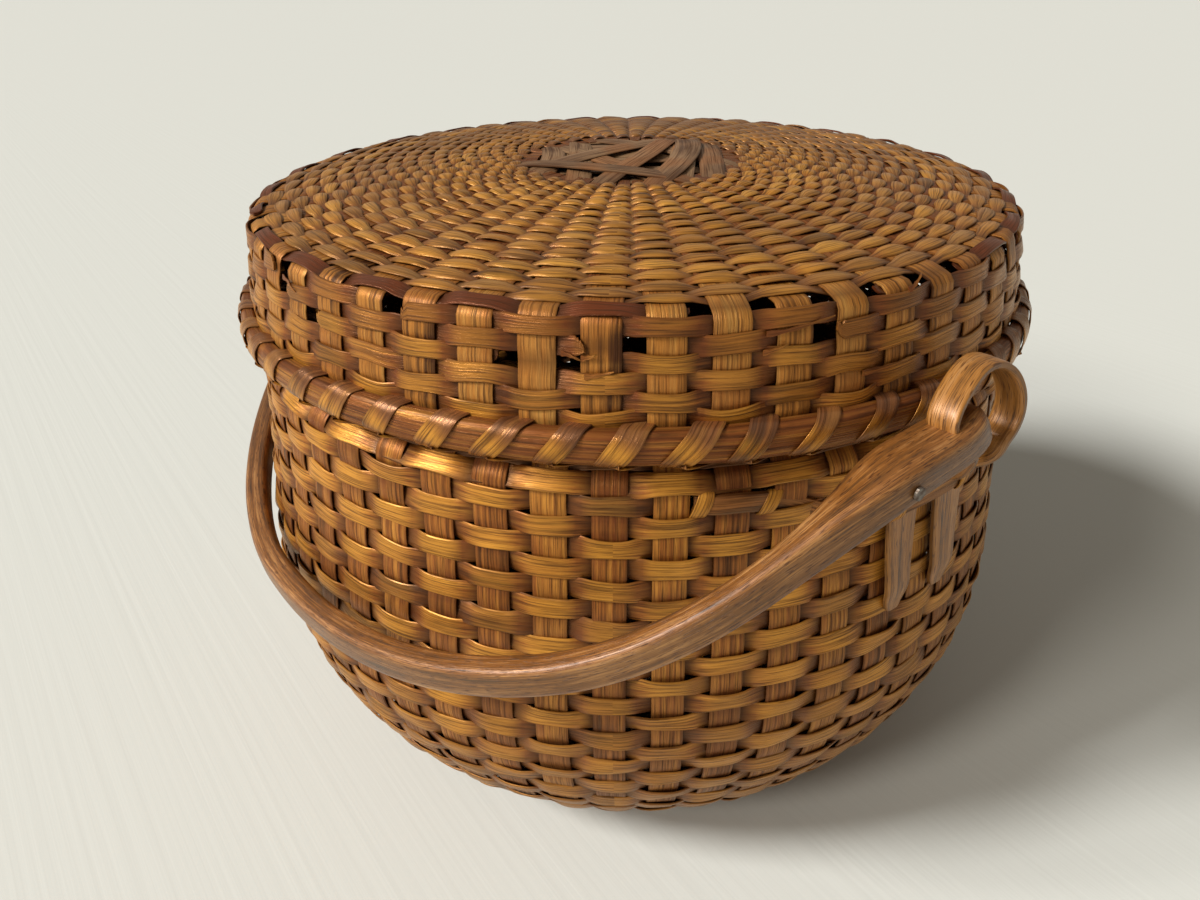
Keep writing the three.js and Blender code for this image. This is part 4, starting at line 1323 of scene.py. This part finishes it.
class BASKET_OT_ears(Operator):
    """The bentwood ears, their legs and the lashed bands over them"""

    bl_idname = "basket.ears"
    bl_label = "Ears"

    def execute(self, context):
        for side, name in ((1, "right"), (-1, "left")):
            self.ear(side, name)
            self.band(side, name)
        return {"FINISHED"}

    @staticmethod
    def half_strap(low, radius):
        """Half of a strap, from the loop's top down one leg: x, y, z, turn of its face and width."""
        stations = []
        for turn in np.radians(np.linspace(0, 150, 11)):
            pulled = (1 + math.cos(turn)) / 2
            stations.append((
                HALF_SPAN + LOOP_OUT - LOOP_PULLED_IN * pulled ** 2, radius * math.sin(turn),
                PIVOT[2] + radius * math.cos(turn) - LOOP_PULLED_DOWN * pulled, 0.0, EAR_WIDTH))
        start_x, start_y, start_z = stations[-1][:3]
        leg_y = EAR_LEG_Y + LEG_SPREAD / 4
        for share in (0.25, 0.5, 0.75, 1.0):
            eased = smoothstep(share, 0, 1)
            stations.append((
                start_x + (wall_radius(EAR_LEG_TOP) + EAR_LEG_OUT - start_x) * eased,
                start_y + (leg_y - start_y) * eased, start_z + (EAR_LEG_TOP - start_z) * share,
                eased * math.pi / 2, EAR_WIDTH + LEG_SPREAD * eased))
        for share in (0.2, 0.4, 0.6, 0.8, 0.92, 1.0):
            z = EAR_LEG_TOP + (low + LEG_SHORT - EAR_LEG_TOP) * share
            # The end is shaved to a tongue and pushed in under a row.
            tucked = smoothstep(share, 0.8, 1.0)
            stations.append((
                wall_radius(z) + EAR_LEG_OUT - 2.4 * tucked, leg_y, z, math.pi / 2,
                (EAR_WIDTH + LEG_SPREAD) * (1 - 0.33 * share - 0.3 * tucked ** 2)))
        return catmull(stations, 5)

    def ear(self, side, name):
        low, high = cad_box("ear_" + name)
        radius = high[2] - PIVOT[2] - EAR_THICKNESS / 2
        half = self.half_strap(low[2], radius)
        mirrored = half[1:][::-1] * (1, -1, 1, -1, 1)
        line = np.concatenate([mirrored, half])
        places, turn, widths = line[:, :3].copy(), line[:, 3], line[:, 4]
        side_dir = np.stack([np.cos(turn), -np.sin(turn), 0 * turn], -1)
        places[:, 1] -= LOOP_LEAN * smoothstep(places[:, 2], PIVOT[2] - 25, PIVOT[2] + 10)
        # The bow pulls the front of the loop out to a drop.
        ahead = np.clip(-places[:, 1] / radius, 0, 1)
        ahead = ahead * smoothstep(places[:, 2], PIVOT[2] - 34, PIVOT[2] - 8)
        places[:, 1] -= LOOP_DROP * ahead * (1 - smoothstep(places[:, 2], PIVOT[2], PIVOT[2] + radius))
        if side < 0:
            places[:, :2] *= -1
            side_dir[:, :2] *= -1
        along = unit(np.gradient(places, axis=0))
        side_dir = square_to(side_dir, along)
        strips = Splints()
        strips.add(places, np.cross(side_dir, along), side_dir, widths, EAR_THICKNESS, 0.45, 0.1, 0.7,
                   section=round_section(16, 4.5))
        strips.make(f"bent_ear_{name}", "bent_hardwood", "basket", "ear_wood", "ear_" + name)

    def band(self, side, name):
        strips = Splints()
        middle = side_azimuth(side)
        pitch = TAU / weave().stakes
        start, end = (middle + turn for turn in EAR_BAND_TURNS)
        azimuth = np.linspace(start, end, int((end - start) / pitch * 10))
        places, out, rise, _ = self.on_band(azimuth, middle)
        strips.add(places, out, rise, EAR_BAND_WIDTH, EAR_BAND_THICKNESS, 0.15, 0.4, 0.7, crown=0.7)
        # Short splints bind the band at its ends, beside the stakes that it crosses and at the legs.
        stake = BODY_STAKE_AZIMUTH + pitch * math.ceil((start - BODY_STAKE_AZIMUTH) / pitch)
        bound = [start + 0.12 * pitch, end - 0.12 * pitch, stake + 0.62 * pitch, stake + 2.62 * pitch,
                 middle - LEG_BINDING_TURN, middle + LEG_BINDING_TURN]
        rng = np.random.default_rng(SEED + side)
        turn = np.linspace(0, TAU, 20, endpoint=False)
        up, outward = np.cos(turn)[:, None], np.sin(turn)[:, None]
        for azimuth in bound:
            lean = rng.uniform(0.006, 0.014)
            places, out, rise, round_it = self.on_band(azimuth + lean * np.cos(turn), middle)
            loop = places + rise * up * BINDING_HALF_HEIGHT + out * (BINDING_HALF_DEPTH * outward + 0.3)
            face = unit(rise * up / BINDING_HALF_HEIGHT + out * outward / BINDING_HALF_DEPTH)
            strips.add(loop, face, round_it, BINDING_WIDTH * (1 + 0.15 * np.sin(turn)), 0.6,
                       rng.uniform(0.6, 1), 0.0, 0.9, crown=0.15, closed=True)
        strips.make(f"ear_lash_{name}", "varnished_ash_weaver", "basket", "lashing", "ear_band_" + name)

    @staticmethod
    def on_band(azimuth, middle):
        """Places on a band by azimuth: woven like a row, but over the ear's legs and lower there."""
        turn = np.abs(azimuth - middle)
        over_legs = 1 - smoothstep(turn, *OVER_LEGS)
        height = EAR_BAND_LOW + (EAR_BAND_HIGH - EAR_BAND_LOW) * smoothstep(turn, *BAND_CLIMB)
        run = np.interp(height, BODY.height[200:], BODY.run[200:])
        woven = mm(weave().weave_lift) * row_lift(azimuth, BODY_STAKE_AZIMUTH, True) + 0.5
        return BODY.frame_at(run, azimuth, woven + (WEAVE_INSET + 4.2 - woven) * over_legs)


# The bow's eyes, in millimetres: how far the tip is from the pivot axis, how long the tip, the slot
# and the straight stretch are, and where the leaf shape of the eye is widest and how long it is
EYE_TIP = 6.4
EYE_TIP_LENGTH = 4.8
EYE_SLOT = 21.0
EYE_LENGTH = 30.0
EYE_ROOT = 25.0
EYE_LEAF = 31.0
# Width of each eye's slot, by its distance along it as a share of its length
SLOT_SHARES = np.array([-0.05, 0.05, 0.15, 0.6, 0.9, 1.0])
SLOT_WIDTHS = np.array([10.0, 13.0, 14.6, 15.0, 14.0, 12.0])
# The bow: its depth, how full its right and left limb are, and its section at the eyes and the grip
BOW_DEPTH = 214.0
BOW_FULLNESS = (2.25, 1.75)
EYE_WIDTH, EYE_THICKNESS = 21.6, 14.6
GRIP_WIDTH, GRIP_THICKNESS = 10, 12.8
TAPER_LENGTH = 60
# It arches up out of its plane beside the eyes: how far, and where it does so most and no more.
BOW_RISE = 12.0
BOW_RISE_PLACE = 46.0
BOW_RISE_END = 170.0
# It hangs this far below level, and its outer face leans up, more along the bow than at the eyes.
REST_ANGLE = math.radians(27)
EYE_ROLL = math.radians(3)
BOW_ROLL = math.radians(19)


def bow_line():
    """Middle line of the bow in its own plane: across, and out from the pivot axis."""
    turn = np.linspace(0, math.pi, 600)
    fullness = 2 / np.where(turn < math.pi / 2, *BOW_FULLNESS)
    x = HALF_SPAN * np.sign(np.cos(turn)) * np.abs(np.cos(turn)) ** fullness
    y = EYE_LENGTH + (BOW_DEPTH - EYE_LENGTH) * np.abs(np.sin(turn)) ** fullness
    line = np.concatenate([[(HALF_SPAN, EYE_TIP)], np.stack([x, y], 1), [(-HALF_SPAN, EYE_TIP)]])
    runs = runs_of(line)
    dense = np.linspace(0, runs[-1], 260)
    return smooth(np.stack([np.interp(dense, runs, v) for v in line.T], 1), 3), dense


class BASKET_OT_handle(Operator):
    """The carved bow, its two eyes and the nails through their roots"""

    bl_idname = "basket.handle"
    bl_label = "Handle"

    def execute(self, context):
        line, run = bow_line()
        end = run[-1]
        near = np.minimum(run, end - run)
        grip = smoothstep(near, EYE_LENGTH, EYE_LENGTH + TAPER_LENGTH)
        width = EYE_WIDTH + (GRIP_WIDTH - EYE_WIDTH) * grip
        thickness = EYE_THICKNESS + (GRIP_THICKNESS - EYE_THICKNESS) * grip
        # The eye is a pointed leaf, rounded off at its very tip.
        leaf = np.clip((EYE_ROOT - near) / EYE_LEAF, 0, 1)
        tip = np.sqrt(1 - (1 - np.clip(near / 4, 0, 1)) ** 2)
        width = width * np.sqrt(1 - leaf ** 2) * (0.6 + 0.4 * tip)
        thickness = thickness * (0.8 + 0.2 * tip)
        bumps = wobble(run / end * math.pi, np.random.default_rng(SEED + 61), 0.012, (9, 17, 31, 47))
        width, thickness = width * (1 + bumps), thickness * (1 - bumps)
        out_dir = np.array([0, -math.cos(REST_ANGLE), -math.sin(REST_ANGLE)])
        up_dir = np.array([0, -math.sin(REST_ANGLE), math.cos(REST_ANGLE)])
        rise = BOW_RISE * smoothstep(near, 0, BOW_RISE_PLACE)
        rise = rise * (1 - smoothstep(near, BOW_RISE_PLACE, BOW_RISE_END))
        places = np.array([1.0, 0, 0]) * line[:, :1] + out_dir * line[:, 1:] + UP * PIVOT[2]
        places = places + up_dir * rise[:, None]
        along = unit(np.gradient(places, axis=0))
        roll = smoothstep(near, EYE_LENGTH - 8, EYE_LENGTH + 40)
        roll = (EYE_ROLL + (BOW_ROLL - EYE_ROLL) * roll)[:, None]
        level = np.cross(along, up_dir)
        side = level * np.cos(roll) - up_dir * np.sin(roll)
        out = up_dir * np.cos(roll) + level * np.sin(roll)
        # The left limb has gone dark and grey, as the right one is held more often.
        greyed = 0.75 * smoothstep(run / end, 0.5, 0.85)
        strips = Splints()
        strips.add(places, out, side, width, thickness, 0.4, greyed, 0.8, section=round_section(32, 4.2))
        item = strips.build("carved_bow", "hand_worn_hardwood")
        for sign in (1, -1):
            self.cut_slot(item, np.array([sign * HALF_SPAN, 0, PIVOT[2]]), out_dir, up_dir)
        place_piece(item, "swing_handle", "handle_wood", "handle")
        iron = iron_material()
        for name in ("right", "left"):
            node = frame["nodes"]["handle_nail_" + name]
            node.data.materials.clear()
            node.data.materials.append(iron)
        return {"FINISHED"}

    @staticmethod
    def cut_slot(item, pivot, out_dir, up_dir):
        cutter = Splints()
        distance = EYE_TIP + EYE_TIP_LENGTH + EYE_SLOT * SLOT_SHARES
        side, out = (np.tile(v, (len(distance), 1)) for v in ([1.0, 0, 0], up_dir))
        cutter.add(pivot + out_dir * distance[:, None], out, side, SLOT_WIDTHS, 2 * BOW_RISE + 20,
                   section=round_section(16, 8))
        tool = cutter.build("slot_cutter", "hand_worn_hardwood")
        cut = item.modifiers.new("slot", "BOOLEAN")
        cut.operation = "DIFFERENCE"
        cut.object = tool
        cut.solver = "EXACT"
        with bpy.context.temp_override(object=item, active_object=item):
            bpy.ops.object.modifier_apply(modifier=cut.name)
        bpy.data.objects.remove(tool, do_unlink=True)


class BASKET_PT_panel(Panel):
    """Sizes, finishes and the steps that build the basket"""

    bl_label = "Covered splint basket"
    bl_space_type = "VIEW_3D"
    bl_region_type = "UI"
    bl_category = "Basket"

    def draw(self, context):
        for key in SETTINGS:
            box = self.layout.box()
            group = getattr(context.scene, key)
            for name in group.__annotations__:
                box.prop(group, name)
        for step in STEPS:
            self.layout.operator(step.bl_idname)


STEPS = (
    BASKET_OT_stage, BASKET_OT_body_stakes, BASKET_OT_body_rows, BASKET_OT_foot, BASKET_OT_body_rim,
    BASKET_OT_lid_stakes, BASKET_OT_lid_rows, BASKET_OT_lid_top, BASKET_OT_lid_rim, BASKET_OT_ears,
    BASKET_OT_handle,
)
SETTINGS = {"basket_weave": WeaveSettings, "basket_finish": FinishSettings, "basket_stage": StageSettings}
CLASSES = (*SETTINGS.values(), *STEPS, BASKET_PT_panel)


def register():
    for item in CLASSES:
        bpy.utils.register_class(item)
    for key, group in SETTINGS.items():
        setattr(bpy.types.Scene, key, PointerProperty(type=group))


def unregister():
    for key in SETTINGS:
        delattr(bpy.types.Scene, key)
    for item in reversed(CLASSES):
        bpy.utils.unregister_class(item)


def main():
    register()
    for step in STEPS:
        group, name = step.bl_idname.split(".")
        getattr(getattr(bpy.ops, group), name)()


if __name__ == "__main__":
    main()
